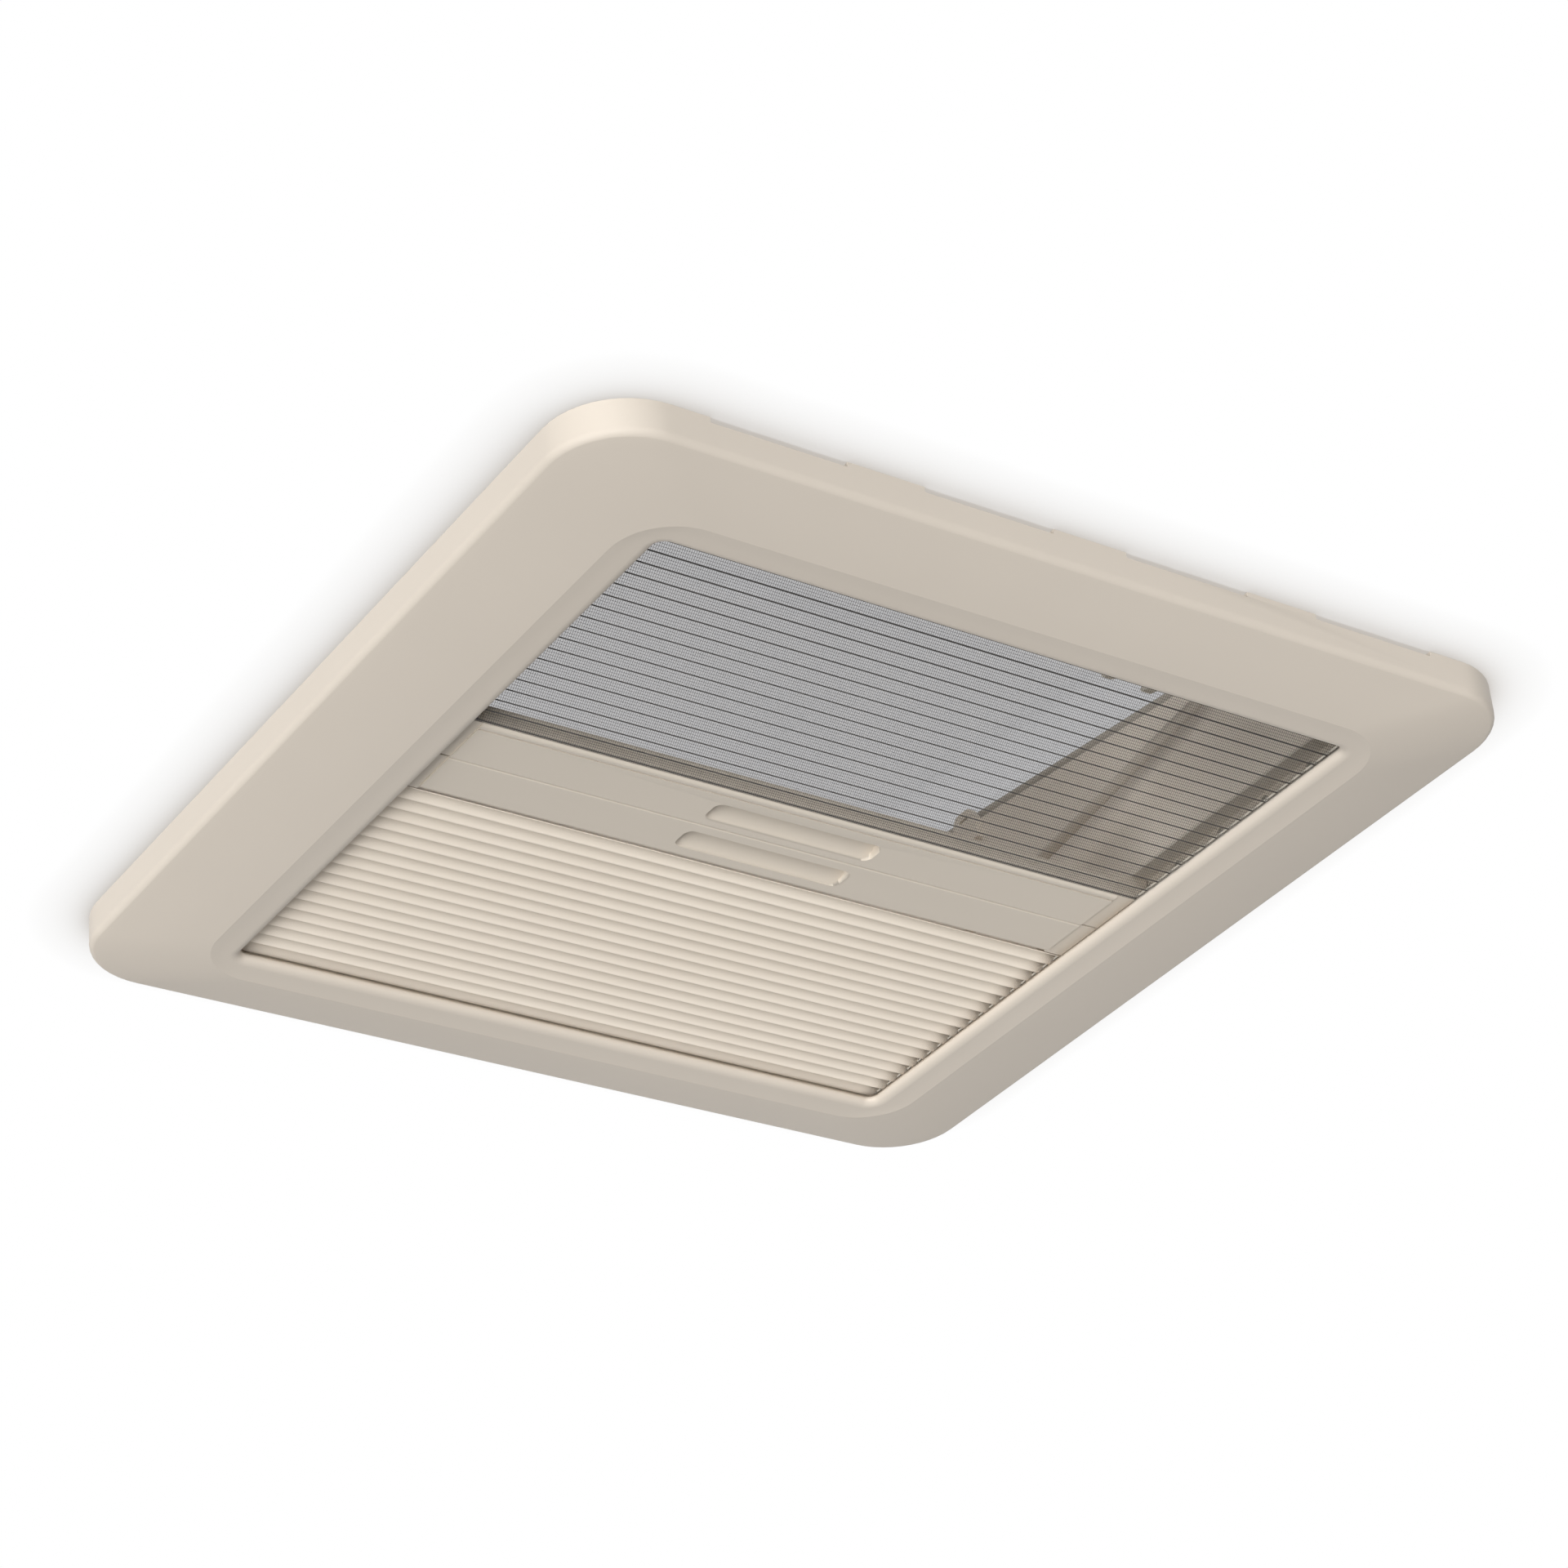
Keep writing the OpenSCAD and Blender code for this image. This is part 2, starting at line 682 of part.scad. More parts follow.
function from_rim(v, w) = [v * cos(rim_tilt) - w * sin(rim_tilt),
  rim_z + v * sin(rim_tilt) + w * cos(rim_tilt)];
function rim_height(y, w) = rim_z + y * tan(rim_tilt) + w / cos(rim_tilt);

// The plate between the ears, level with the rim
module arm_profile() {
  back = upstand_half + 1;
  tip = hinge_v + ear_r - 1;
  polygon([from_rim(tip, arm_low + 0.5), from_rim(tip, arm_top - 0.5),
    [back, rim_height(back, arm_top - 0.5)], [back, rim_height(back, arm_low + 0.5)]]);
}

// An ear with its round end, running back into a gusset on the back plate
module ear_profile() {
  back = upstand_half + 1;
  polygon(concat([from_rim(hinge_v + ear_r, arm_low)],
    [for (p = arc(hinge_v, hinge_w, ear_r, 0, 180, 20)) from_rim(p.x, p.y)],
    [from_rim(hinge_v - ear_r, arm_top), [back, rim_height(back, arm_top)],
      [back, rim_height(back, arm_top) - gusset_root], from_rim(hinge_v - ear_r, arm_low)]));
}

module hinge_bracket() {
  difference() {
    union() {
      translate([-plate_w / 2, upstand_half, axis_z - plate_drop])
        cube([plate_w, plate_t, plate_drop - 10]);
      along_x(2 * (bracket_half - ear_t) + 1) arm_profile();
      for (s = [-1, 1])
        translate([s * (bracket_half - ear_t / 2), 0, 0]) along_x(ear_t) ear_profile();
    }
    on_rim() translate([0, hinge_v, hinge_w]) rod_x(hinge_pin_r + 0.02, 4 * bracket_half);
    for (s = [-1, 1]) translate([s * hinge_screw_x, upstand_half, hinge_screw_z])
      rotate([90, 0, 0]) cylinder(r = hinge_screw_r + pin_gap, h = 4 * plate_t, center = true);
  }
}

module hinge_brackets() {
  color("ivory") for (s = [-1, 1]) translate([s * hinge_x, 0, 0]) hinge_bracket();
}

module hinge_pins() {
  color("silver") on_rim() for (s = [-1, 1]) translate([s * hinge_x, hinge_v, hinge_w]) {
    rod_x(hinge_pin_r, 2 * bracket_half + 1);
    for (e = [-1, 1]) translate([e * (bracket_half + 1), 0, 0]) rod_x(hinge_pin_r + 1.2, 1.4);
  }
}

module hinge_screws() {
  color("silver") for (s = [-1, 1], e = [-1, 1])
    translate([s * hinge_x + e * hinge_screw_x, upstand_half + plate_t, hinge_screw_z])
      rotate([-90, 0, 0]) {
        cylinder(r = hinge_screw_head[0], h = hinge_screw_head[1]);
        translate([0, 0, eps - plate_t]) cylinder(r = hinge_screw_r, h = plate_t);
      }
}

leaf_t = 2.5;
leaf_low = -3;
leaf_h = 14;
leaf_neck = 6;
leaf_screw_x = leaf_w / 2 - 6;
leaf_screw_w = 8.2;
leaf_screw_head = [2.2, 1.2];

module hinge_leaf() {
  on_rim() difference() {
    union() {
      translate([-leaf_w / 2, dome_w / 2, leaf_low]) cube([leaf_w, leaf_t, leaf_h]);
      along_x(leaf_w) {
        translate([hinge_v, hinge_w]) circle(barrel_r);
        translate([dome_w / 2 + 1, hinge_w - leaf_neck / 2])
          square([hinge_v - dome_w / 2 - 1, leaf_neck]);
      }
    }
    translate([0, hinge_v, hinge_w]) rod_x(hinge_pin_r + pin_gap, 2 * leaf_w);
  }
}

module hinge_leaves() {
  color("ivory") for (s = [-1, 1]) translate([s * hinge_x, 0, 0]) hinge_leaf();
}

module leaf_screws() {
  color("silver") on_rim() for (s = [-1, 1], e = [-1, 1])
    translate([s * hinge_x + e * leaf_screw_x, dome_w / 2 + leaf_t, leaf_screw_w])
      rotate([-90, 0, 0]) cylinder(r = leaf_screw_head[0], h = leaf_screw_head[1]);
}

// Dome: a flat-topped inner pan under a pillow-shaped outer pane
pane_w = 8;
skirt_t = 3;
skirt_drop = 4;
dome_half = dome_w / 2;
dome_r = 42;
inner_half = dome_half - skirt_t - 0.3;
pan_half = shaft_half + 3.5;
pan_r = 26;
pan_spread = 20;
crown_half = dome_half - 13;
crown_r = 34;
crown_spread = 150;
crown_w = pane_w + inner_t;

// A pillow that starts upright at its edge and levels out towards its middle
function pillow(half, r, spread, w0, rise, steps) = [for (i = [0:steps])
  let (t = 90 * i / steps, in = spread * (1 - cos(t)))
  square_level(half - in, r + in / 8, w0 + rise * sin(t))];

module inner_pane() {
  color("lightgray", 0.5) on_rim() shell(concat(
    turned(pillow(pan_half, pan_r, pan_spread, pane_w + inner_t, pan_rise, 6)),
    [square_level(inner_half, dome_r - skirt_t, pane_w + inner_t),
      square_level(inner_half, dome_r - skirt_t, pane_w)],
    pillow(pan_half - inner_t, pan_r - inner_t, pan_spread, pane_w, pan_rise, 6)));
}

module outer_pane() {
  color("lightgray", 0.5) on_rim() shell(concat(
    turned(pillow(crown_half, crown_r, crown_spread, crown_w + outer_t, dome_rise - outer_t, 12)),
    [square_level(dome_half - outer_t / 2, dome_r - outer_t / 2, crown_w + outer_t),
      square_level(dome_half, dome_r, crown_w + outer_t / 2),
      square_level(dome_half, dome_r, -skirt_drop),
      square_level(dome_half - skirt_t, dome_r - skirt_t, -skirt_drop),
      square_level(dome_half - skirt_t, dome_r - skirt_t, crown_w)],
    pillow(crown_half - outer_t, crown_r - outer_t, crown_spread, crown_w,
      dome_rise - outer_t, 12)));
}

// Slide tracks: their slots follow the crossbar as seen from the turning dome
bail_e = norm([cross_y - pivot_y, cross_z - pivot_z]);
bail_a = atan2(cross_z - pivot_z, cross_y - pivot_y);
rod_r = rod_d / 2;
track_x = 150;
track_t = 5;
shoe_wall = 1.5;
shoe_r = rod_r + shoe_wall;
slot_r = shoe_r + 0.4;
track_wall = 2.6;
body_r = slot_r + track_wall;
path_steps = 25;
// Step of the path at which the lower jaw ends and leaves the slot open
jaw_step = 18;
foot_w = 14;
foot_t = 2;

function spin(p, a) = [p.x * cos(a) - p.y * sin(a), p.x * sin(a) + p.y * cos(a)];
function slot_point(a) =
  let (axis = [axis_y, axis_z], cross = [pivot_y, pivot_z]
    + spin([cross_y - pivot_y, cross_z - pivot_z], -bail_ratio * a))
  axis + spin(cross - axis, a);
function slot_normal(a) =
  let (d = slot_point(a + 0.5) - slot_point(a - 0.5)) [-d.y, d.x] / norm(d);
function slot_edge(off, last) =
  [for (i = [1:last]) let (a = dome_open * i / path_steps)
    slot_point(a) + off * slot_normal(a)];
function under_angle(a) = atan2(-slot_normal(a).y, -slot_normal(a).x);
function round_slot_point(a, r, from, to) = arc(slot_point(a).x, slot_point(a).y, r, from, to, 8);
function along_rim(p) = p.x * cos(rim_tilt) + (p.y - rim_z) * sin(rim_tilt);

track_top = pane_w + pan_rise;
track_v0 = along_rim(slot_point(0)) - body_r + 4;
track_v1 = along_rim(slot_point(dome_open)) + body_r;

// A hook-shaped plate: the upper jaw is as long as the path, the lower jaw is shorter
module track_plate() {
  low = under_angle(0) + 360;
  jaw_a = dome_open * jaw_step / path_steps;
  jaw_mid = slot_point(jaw_a) - (slot_r + body_r) / 2 * slot_normal(jaw_a);
  polygon(concat(
    round_slot_point(0, body_r, 180, low),
    slot_edge(-body_r, jaw_step - 1),
    arc(jaw_mid.x, jaw_mid.y, track_wall / 2, under_angle(jaw_a), under_angle(jaw_a) + 180, 6),
    turned(slot_edge(-slot_r, jaw_step - 1)),
    turned(round_slot_point(0, slot_r, low - 180, low)),
    slot_edge(slot_r, path_steps),
    [from_rim(track_v1, track_top), from_rim(track_v0, track_top)]));
}

module slide_tracks() {
  color("lightgray") for (s = [-1, 1]) {
    translate([s * track_x, 0, 0]) along_x(track_t) track_plate();
    on_rim() translate([s * track_x - foot_w / 2, track_v0 + 1, track_top - foot_t])
      cube([foot_w, track_v1 - track_v0 - 2, foot_t]);
  }
}

// Bail: a U-shaped rod, drawn in its own plane with the pivots at the origin
corner_bend = 12;
pivot_bend = 8;
bearing_out = 3;
boss_in = 6;
stub_end = shaft_half - 1.5;

module on_bail() {
  translate([0, pivot_y, pivot_z]) rotate([bail_a, 0, 0]) children();
}

module bend(r) { rotate_extrude(angle = 90) translate([r, 0]) circle(rod_r, $fn = 32); }

module bail_rod() {
  color("dimgray") on_bail() {
    for (s = [0, 1]) mirror([s, 0, 0]) {
      translate([arm_x, pivot_bend, 0]) rotate([-90, 0, 0])
        cylinder(r = rod_r, h = bail_e - pivot_bend - corner_bend, $fn = 32);
      translate([arm_x - corner_bend, bail_e - corner_bend, 0]) bend(corner_bend);
      translate([arm_x + pivot_bend, pivot_bend, 0]) rotate([0, 0, 180]) bend(pivot_bend);
      translate([arm_x + pivot_bend, 0, 0]) rotate([0, 90, 0])
        cylinder(r = rod_r, h = stub_end - arm_x - pivot_bend, $fn = 32);
    }
    translate([0, bail_e, 0]) rotate([0, 90, 0])
      cylinder(r = rod_r, h = 2 * (arm_x - corner_bend), center = true, $fn = 32);
  }
}

bearing_r = 7;
plate_back = 15;
plate_front = 7.5;
plate_half = 9;
screw_back = 11;
screw_side = 5;
bearing_screw_r = 1.35;
bearing_screw_head = [2.8, 1.8];

module bail_bearings() {
  color("ivory") for (s = [0, 1]) mirror([s, 0, 0]) translate([0, pivot_y, pivot_z])
    difference() {
      union() {
        translate([shaft_half - bearing_out, -plate_back, -plate_half])
          cube([bearing_out, plate_back + plate_front, 2 * plate_half]);
        translate([shaft_half - boss_in, 0, 0]) rotate([0, 90, 0])
          cylinder(r = bearing_r, h = boss_in - bearing_out + eps);
      }
      translate([shaft_half - boss_in - 1, 0, 0]) rotate([0, 90, 0])
        cylinder(r = rod_r + pin_gap, h = boss_in);
      for (e = [-1, 1])
        translate([shaft_half, -screw_back, e * screw_side])
          rod_x(bearing_screw_r + pin_gap, 4 * bearing_out);
    }
}

module bearing_screws() {
  color("silver") for (s = [0, 1], e = [-1, 1]) mirror([s, 0, 0])
    translate([shaft_half - bearing_out, pivot_y - screw_back, pivot_z + e * screw_side]) {
      translate([-bearing_screw_head[1] / 2, 0, 0])
        rod_x(bearing_screw_head[0], bearing_screw_head[1]);
      translate([bearing_out / 2 - eps, 0, 0]) rod_x(bearing_screw_r, bearing_out);
    }
}

// Open hooks on the low end wall, where the crossbar lies while the dome is shut
keeper_x = arm_x - corner_bend - 4.5;
keeper_t = 7;
keeper_plate_t = 3;
keeper_foot = 16;
keeper_lip = 3;
keeper_gap = 0.4;

module bail_keepers() {
  back = -shaft_half;
  front = back + keeper_plate_t;
  gap = rod_r + keeper_gap;
  keeper = [[back, cross_z - keeper_foot], [front, cross_z - keeper_foot],
    [cross_y + gap + keeper_lip, cross_z - gap - keeper_lip], [cross_y + gap + keeper_lip, cross_z],
    [cross_y + gap, cross_z], [cross_y + gap, cross_z - gap], [cross_y - gap, cross_z - gap],
    [cross_y - gap, cross_z + 2 * keeper_lip], [cross_y - gap - keeper_lip, cross_z + 2 * keeper_lip],
    [cross_y - gap - keeper_lip, cross_z - 1], [front, cross_z - 1], [front, cross_z + 2],
    [back, cross_z + 2]];
  color("ivory") for (s = [-1, 1]) translate([s * keeper_x, 0, 0])
    along_x(keeper_t) polygon(keeper);
}

// Handle on the crossbar, with a release button near each end
handle_w = 22;
handle_t = 16;
handle_r = 6;
button = [14, 10];
button_end = 28;
button_x = handle_len / 2 - button_end;
button_proud = 2.5;
button_floor = rod_r + 0.6;
button_gap = 0.25;

module bail_handle() {
  color("ivory") on_bail() translate([0, bail_e, 0]) difference() {
    along_x(handle_len) round_rect(handle_w, handle_t, handle_r);
    rod_x(rod_r + 0.02, 2 * handle_len);
    for (s = [-1, 1]) translate([s * button_x, 0, button_floor])
      linear_extrude(handle_t) square(button + [2 * button_gap, 2 * button_gap], center = true);
  }
}

module release_button(side) {
  color("gray") on_bail()
    translate([side * button_x, bail_e, button_floor + button_travel + 0.2])
      linear_extrude(handle_t / 2 + button_proud - button_floor - button_travel - 0.2)
        round_rect(button.x, button.y, 2);
}

module release_button_left() { release_button(-1); }
module release_button_right() { release_button(1); }

shoe_flange_r = slot_r + 2.1;
shoe_flange_t = 1.6;
shoe_side = 0.6;

module glide_shoes() {
  color("gray") on_bail() for (s = [-1, 1]) translate([s * track_x, bail_e, 0]) difference() {
    union() {
      rod_x(shoe_r, track_t + 2 * shoe_side + eps);
      for (e = [-1, 1]) translate([e * (track_t + 2 * shoe_side + shoe_flange_t) / 2, 0, 0])
        rod_x(shoe_flange_r, shoe_flange_t);
    }
    rod_x(rod_r + 0.02, 40);
  }
}

trim_frame();
guide_rail_left();
guide_rail_right();
rail_rivets();
flyscreen_end_rail();
blackout_end_rail();
tension_cords();
flyscreen_net();
blackout_cloth();
flyscreen_bar();
flyscreen_bar_caps();
blackout_bar();
blackout_bar_caps();
roof_frame();
sealing_tape();
rim_seal();
clamp_brackets();
clamp_screws();
hinge_brackets();
hinge_pins();
hinge_screws();
bail_bearings();
bearing_screws();
bail_keepers();
outer_pane();
inner_pane();
hinge_leaves();
leaf_screws();
slide_tracks();
bail_rod();
bail_handle();
glide_shoes();
release_button_left();
release_button_right();
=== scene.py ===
# %% [markdown]
# # A roof skylight for a camper, seen from inside
# The part hangs in the ceiling of a camper. From the room we see its moulded trim frame,
# and in the opening two pleated blinds that meet in the middle: a dark flyscreen net and a
# pale blackout cloth. Above the ceiling there are a roof frame, a double dome and its bail.
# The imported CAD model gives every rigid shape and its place. This lesson loads it and then
# adds what CAD leaves plain: cloth, net, small repeated pieces, finishes, light and camera.

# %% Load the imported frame
import json
import math

import bmesh
import bpy
import numpy as np
from mathutils import Matrix, Vector


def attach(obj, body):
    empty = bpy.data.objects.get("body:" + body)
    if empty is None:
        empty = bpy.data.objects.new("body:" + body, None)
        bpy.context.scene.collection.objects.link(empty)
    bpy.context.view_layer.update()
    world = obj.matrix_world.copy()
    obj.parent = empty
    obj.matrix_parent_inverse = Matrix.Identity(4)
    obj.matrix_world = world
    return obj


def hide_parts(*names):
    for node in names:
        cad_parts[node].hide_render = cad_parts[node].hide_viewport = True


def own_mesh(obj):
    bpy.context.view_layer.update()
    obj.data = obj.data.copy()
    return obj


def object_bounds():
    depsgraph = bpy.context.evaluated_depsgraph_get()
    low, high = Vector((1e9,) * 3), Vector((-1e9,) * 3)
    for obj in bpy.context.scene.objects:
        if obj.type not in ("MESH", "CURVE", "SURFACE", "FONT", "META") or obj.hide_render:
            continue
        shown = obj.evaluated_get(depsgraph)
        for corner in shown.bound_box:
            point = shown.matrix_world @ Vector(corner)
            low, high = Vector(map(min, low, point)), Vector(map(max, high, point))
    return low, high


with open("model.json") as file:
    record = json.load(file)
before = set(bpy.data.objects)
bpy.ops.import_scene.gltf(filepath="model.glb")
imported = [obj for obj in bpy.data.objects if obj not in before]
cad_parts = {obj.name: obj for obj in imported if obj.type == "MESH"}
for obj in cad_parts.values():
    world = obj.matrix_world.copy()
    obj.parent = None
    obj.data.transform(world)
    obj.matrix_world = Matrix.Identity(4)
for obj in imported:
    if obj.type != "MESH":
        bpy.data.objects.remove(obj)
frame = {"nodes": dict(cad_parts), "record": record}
cad_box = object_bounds()
cad = frame["nodes"]
body_of_node = {n: b for b, ns in frame["record"]["behaviour"]["bodies"].items() for n in ns}
slot_of_node = {p["node"]: p["material_slot"] for p in frame["record"]["subparts"]}
MM = 0.001


def node_points(node):
    points = np.empty(3 * len(cad[node].data.vertices))
    cad[node].data.vertices.foreach_get("co", points)
    return points.reshape(-1, 3)


def node_box(node):
    points = node_points(node)
    return points.min(axis=0), points.max(axis=0)


print("CAD box in mm:", [[round(v / MM, 1) for v in corner] for corner in cad_box])

# %% [markdown]
# ## The camera
# The viewer stands below the skylight and looks up at one of its corners. The direction is
# given by an azimuth, an elevation and a small roll. From these we build the three axes of
# the camera by hand, because a tracking constraint could not hold the roll.

# %% Camera
def add_object(name, data):
    made = bpy.data.objects.new(name, data)
    bpy.context.scene.collection.objects.link(made)
    return made


viewer_place = (-0.90614, -1.27079, -0.96985)
view_azimuth, view_elevation, view_roll = (math.radians(a) for a in (-35.686, -31.342, -5.0986))
backward = Vector((math.sin(view_azimuth) * math.cos(view_elevation),
                   -math.cos(view_azimuth) * math.cos(view_elevation),
                   math.sin(view_elevation)))
rightward = (-backward).cross(Vector((0, 0, 1))).normalized()
upward = rightward.cross(-backward)
rolled_right = rightward * math.cos(view_roll) + upward * math.sin(view_roll)
rolled_up = upward * math.cos(view_roll) - rightward * math.sin(view_roll)

camera = add_object("camera", bpy.data.cameras.new("camera"))
axes = [(*axis, 0) for axis in (rolled_right, rolled_up, backward)]
camera.matrix_world = Matrix(axes + [(*viewer_place, 1)]).transposed()
camera.data.sensor_width = 36
camera.data.lens = 93.06
camera.data.clip_start, camera.data.clip_end = 0.05, 30
bpy.context.scene.camera = camera
print("camera looks along", [round(v, 3) for v in -backward])

# %% [markdown]
# ## Colours and small helpers
# Colours are written as they look on a screen, from 0 to 255, and turned into the linear
# values that shaders use. A node tree is a list of nodes whose inputs hold either a value or
# a link. `set_inputs` fills them in both ways, and `add_node` makes a node with its inputs
# filled. The helpers below it name the few kinds of node that nearly every finish needs.

# %% Colours
def colour(red, green, blue):
    parts = [c / 255 for c in (red, green, blue)]
    linear = [c / 12.92 if c <= 0.04045 else ((c + 0.055) / 1.055) ** 2.4 for c in parts]
    return (*linear, 1)


def dimmed(base, share):
    return (*(c * share for c in base[:3]), 1)


# %% Nodes
def set_inputs(tree, node, inputs):
    for name, value in inputs.items():
        socket = node.inputs[name]
        if isinstance(value, bpy.types.NodeSocket):
            tree.links.new(value, socket)
        else:
            socket.default_value = value


def add_node(tree, kind, inputs=None, **settings):
    made = tree.nodes.new(kind)
    for name, value in settings.items():
        setattr(made, name, value)
    set_inputs(tree, made, inputs or {})
    return made


def new_material(name):
    made = bpy.data.materials.new(name)
    made.use_nodes = True
    return made, made.node_tree, made.node_tree.nodes["Principled BSDF"]


# %% Nodes that nearly every finish needs
def object_place(tree):
    return add_node(tree, "ShaderNodeTexCoord").outputs["Object"]


def noise(tree, place, scale, detail):
    made = add_node(tree, "ShaderNodeTexNoise", {
        "Vector": place, "Scale": scale, "Detail": detail})
    return made.outputs["Fac"]


def remap(tree, value, start=(0.0, 1.0), end=(0.0, 1.0)):
    made = add_node(tree, "ShaderNodeMapRange", {
        "Value": value, "From Min": start[0], "From Max": start[1],
        "To Min": end[0], "To Max": end[1]})
    return made.outputs["Result"]


def mix_colours(tree, share, first, second, blend="MIX"):
    made = add_node(tree, "ShaderNodeMix", {"Factor": share, "A": first, "B": second},
                    data_type="RGBA", blend_type=blend)
    return made.outputs["Result"]


def bumps(tree, height, strength, depth_mm):
    made = add_node(tree, "ShaderNodeBump", {
        "Height": height, "Strength": strength, "Distance": depth_mm * MM})
    return made.outputs["Normal"]


# %% [markdown]
# ## Moulded plastic
# The trim frame, the bars and the roof frame are moulded in a warm beige plastic with a
# fine satin grain. A flat colour would look like paper, so two noises work together: a
# slow one shifts the colour by a hair, and a fine one lifts a tiny bump and varies the
# roughness. Both read Object coordinates, so the grain keeps its real size everywhere.

# %% Moulded plastics
def moulded_plastic(name, base, roughness=0.5, grain=1600.0, depth=0.06, drift=0.03):
    made, tree, shader = new_material(name)
    place = object_place(tree)
    slow = noise(tree, place, scale=18.0, detail=2.0)
    fine = noise(tree, place, scale=grain, detail=3.0)
    set_inputs(tree, shader, {
        "Base Color": mix_colours(tree, slow, base, dimmed(base, 1 - drift)),
        "Roughness": remap(tree, fine, end=(roughness - 0.06, roughness + 0.06)),
        "Normal": bumps(tree, fine, strength=0.35, depth_mm=depth),
        "Specular IOR Level": 0.3})
    return made


plastics = {
    "trim_plastic": ("satin beige trim", colour(216, 206, 193), {}),
    "rail_plastic": ("beige rail", colour(196, 187, 174), {"roughness": 0.45, "drift": 0.05}),
    "bar_plastic": ("satin beige bar", colour(214, 204, 190), {"roughness": 0.45}),
    "cap_plastic": ("beige end cap", colour(212, 202, 188), {"roughness": 0.48}),
    "frame_plastic": ("roof frame beige", colour(218, 209, 197),
                      {"roughness": 0.55, "drift": 0.05}),
    "bearing_plastic": ("beige bearing", colour(196, 187, 172), {"roughness": 0.4}),
    "track_plastic": ("grey beige track", colour(194, 188, 176), {"roughness": 0.4}),
    "handle_plastic": ("handle beige", colour(204, 196, 182), {"roughness": 0.42}),
    "shoe_plastic": ("dark nylon", colour(62, 60, 58), {"roughness": 0.35, "drift": 0.1}),
    "button_plastic": ("dark grey button", colour(88, 86, 83), {"roughness": 0.45, "drift": 0.08}),
    "rod_paint": ("beige powder coat", colour(196, 187, 175),
                  {"roughness": 0.4, "grain": 2600, "depth": 0.1}),
    "seal_rubber": ("foam rubber", colour(186, 179, 168),
                    {"roughness": 0.85, "grain": 1200, "depth": 0.2, "drift": 0.2}),
    "sealing_butyl": ("butyl tape", colour(150, 148, 143),
                      {"roughness": 0.7, "grain": 400, "depth": 0.3, "drift": 0.15}),
    "cord_fibre": ("cord fibre", colour(204, 198, 186),
                   {"roughness": 0.8, "grain": 3000, "depth": 0.1}),
}
finishes = {slot: moulded_plastic(name, base, **surface)
            for slot, (name, base, surface) in plastics.items()}
print("plastics:", len(finishes))

# %% [markdown]
# ## Metal and clear panes
# Screws and brackets are zinc plated, pins and rivets are bright. Both are turned or
# rolled, which a stretched noise shows as fine lines. The dome is clear acrylic. Its walls
# are thin, so light goes straight through them, dimmed by the smoke grey of the outer wall,
# and a share that grows towards grazing angles is mirrored. The sky seen through both walls
# is then a soft grey.

# %% Metals
def plated_metal(name, base, roughness, stretch):
    made, tree, shader = new_material(name)
    pull = add_node(tree, "ShaderNodeMapping", {"Vector": object_place(tree), "Scale": stretch})
    lines = noise(tree, pull.outputs["Vector"], scale=900.0, detail=4.0)
    set_inputs(tree, shader, {
        "Base Color": mix_colours(tree, lines, base, dimmed(base, 0.82)),
        "Roughness": remap(tree, lines, end=(roughness - 0.1, roughness + 0.12)),
        "Normal": bumps(tree, lines, strength=0.2, depth_mm=0.04),
        "Metallic": 1.0})
    return made


finishes["bright_metal"] = plated_metal(
    "bright turned metal", colour(214, 214, 212), roughness=0.3, stretch=(1, 1, 6))
finishes["zinc_steel"] = plated_metal(
    "zinc plated steel", colour(196, 198, 200), roughness=0.42, stretch=(1, 8, 1))
print("finishes with metals:", len(finishes))


# %% Panes
def maths(tree, operation, first, second):
    made = add_node(tree, "ShaderNodeMath", {0: first, 1: second}, operation=operation)
    return made.outputs["Value"]


def clear_acrylic(name, tint):
    made, tree, shader = new_material(name)
    haze = noise(tree, object_place(tree), scale=40.0, detail=3.0)
    gloss = add_node(tree, "ShaderNodeBsdfGlossy", {
        "Roughness": remap(tree, haze, end=(0.02, 0.07))})
    clear = add_node(tree, "ShaderNodeBsdfTransparent", {"Color": tint})
    facing = add_node(tree, "ShaderNodeLayerWeight", {"Blend": 0.5}).outputs["Facing"]
    both = add_node(tree, "ShaderNodeMixShader", {
        0: remap(tree, maths(tree, "POWER", facing, 4.0), end=(0.02, 0.5)),
        1: clear.outputs["BSDF"], 2: gloss.outputs["BSDF"]})
    tree.nodes.remove(shader)
    set_inputs(tree, tree.nodes["Material Output"], {"Surface": both.outputs["Shader"]})
    return made


finishes["smoked_pane"] = clear_acrylic("outer acrylic", colour(229, 228, 229))
finishes["clear_pane"] = clear_acrylic("inner acrylic", colour(250, 251, 251))
print("finishes with panes:", len(finishes))

# %% [markdown]
# ## Dress the rigid pieces
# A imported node's mesh is loose flat triangles, which suits a flat face but shows steps on a
# curve. For curved pieces we take a copy, merge its doubled corners and shade it smooth,
# except where two faces meet at a clear angle. A weighted normal keeps the large flats
# flat, and works best where their triangles are first merged into one face. Where a real
# moulding has softly broken edges, a small bevel adds them.

# %% Smooth copies of rigid nodes
SAME_POINT = 1e-6


def merged_copy(node, flatten):
    mesh = cad[node].data.copy()
    mesh.name = f"{node}_smooth"
    work = bmesh.new()
    work.from_mesh(mesh)
    bmesh.ops.remove_doubles(work, verts=work.verts, dist=SAME_POINT)
    if flatten:
        bmesh.ops.dissolve_limit(
            work, angle_limit=math.radians(0.5), verts=work.verts, edges=work.edges)
    work.to_mesh(mesh)
    work.free()
    return mesh


def dress(piece, node):
    piece.data.materials.clear()
    piece.data.materials.append(finishes[slot_of_node[node]])
    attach(piece, body_of_node[node])
    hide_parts(node)


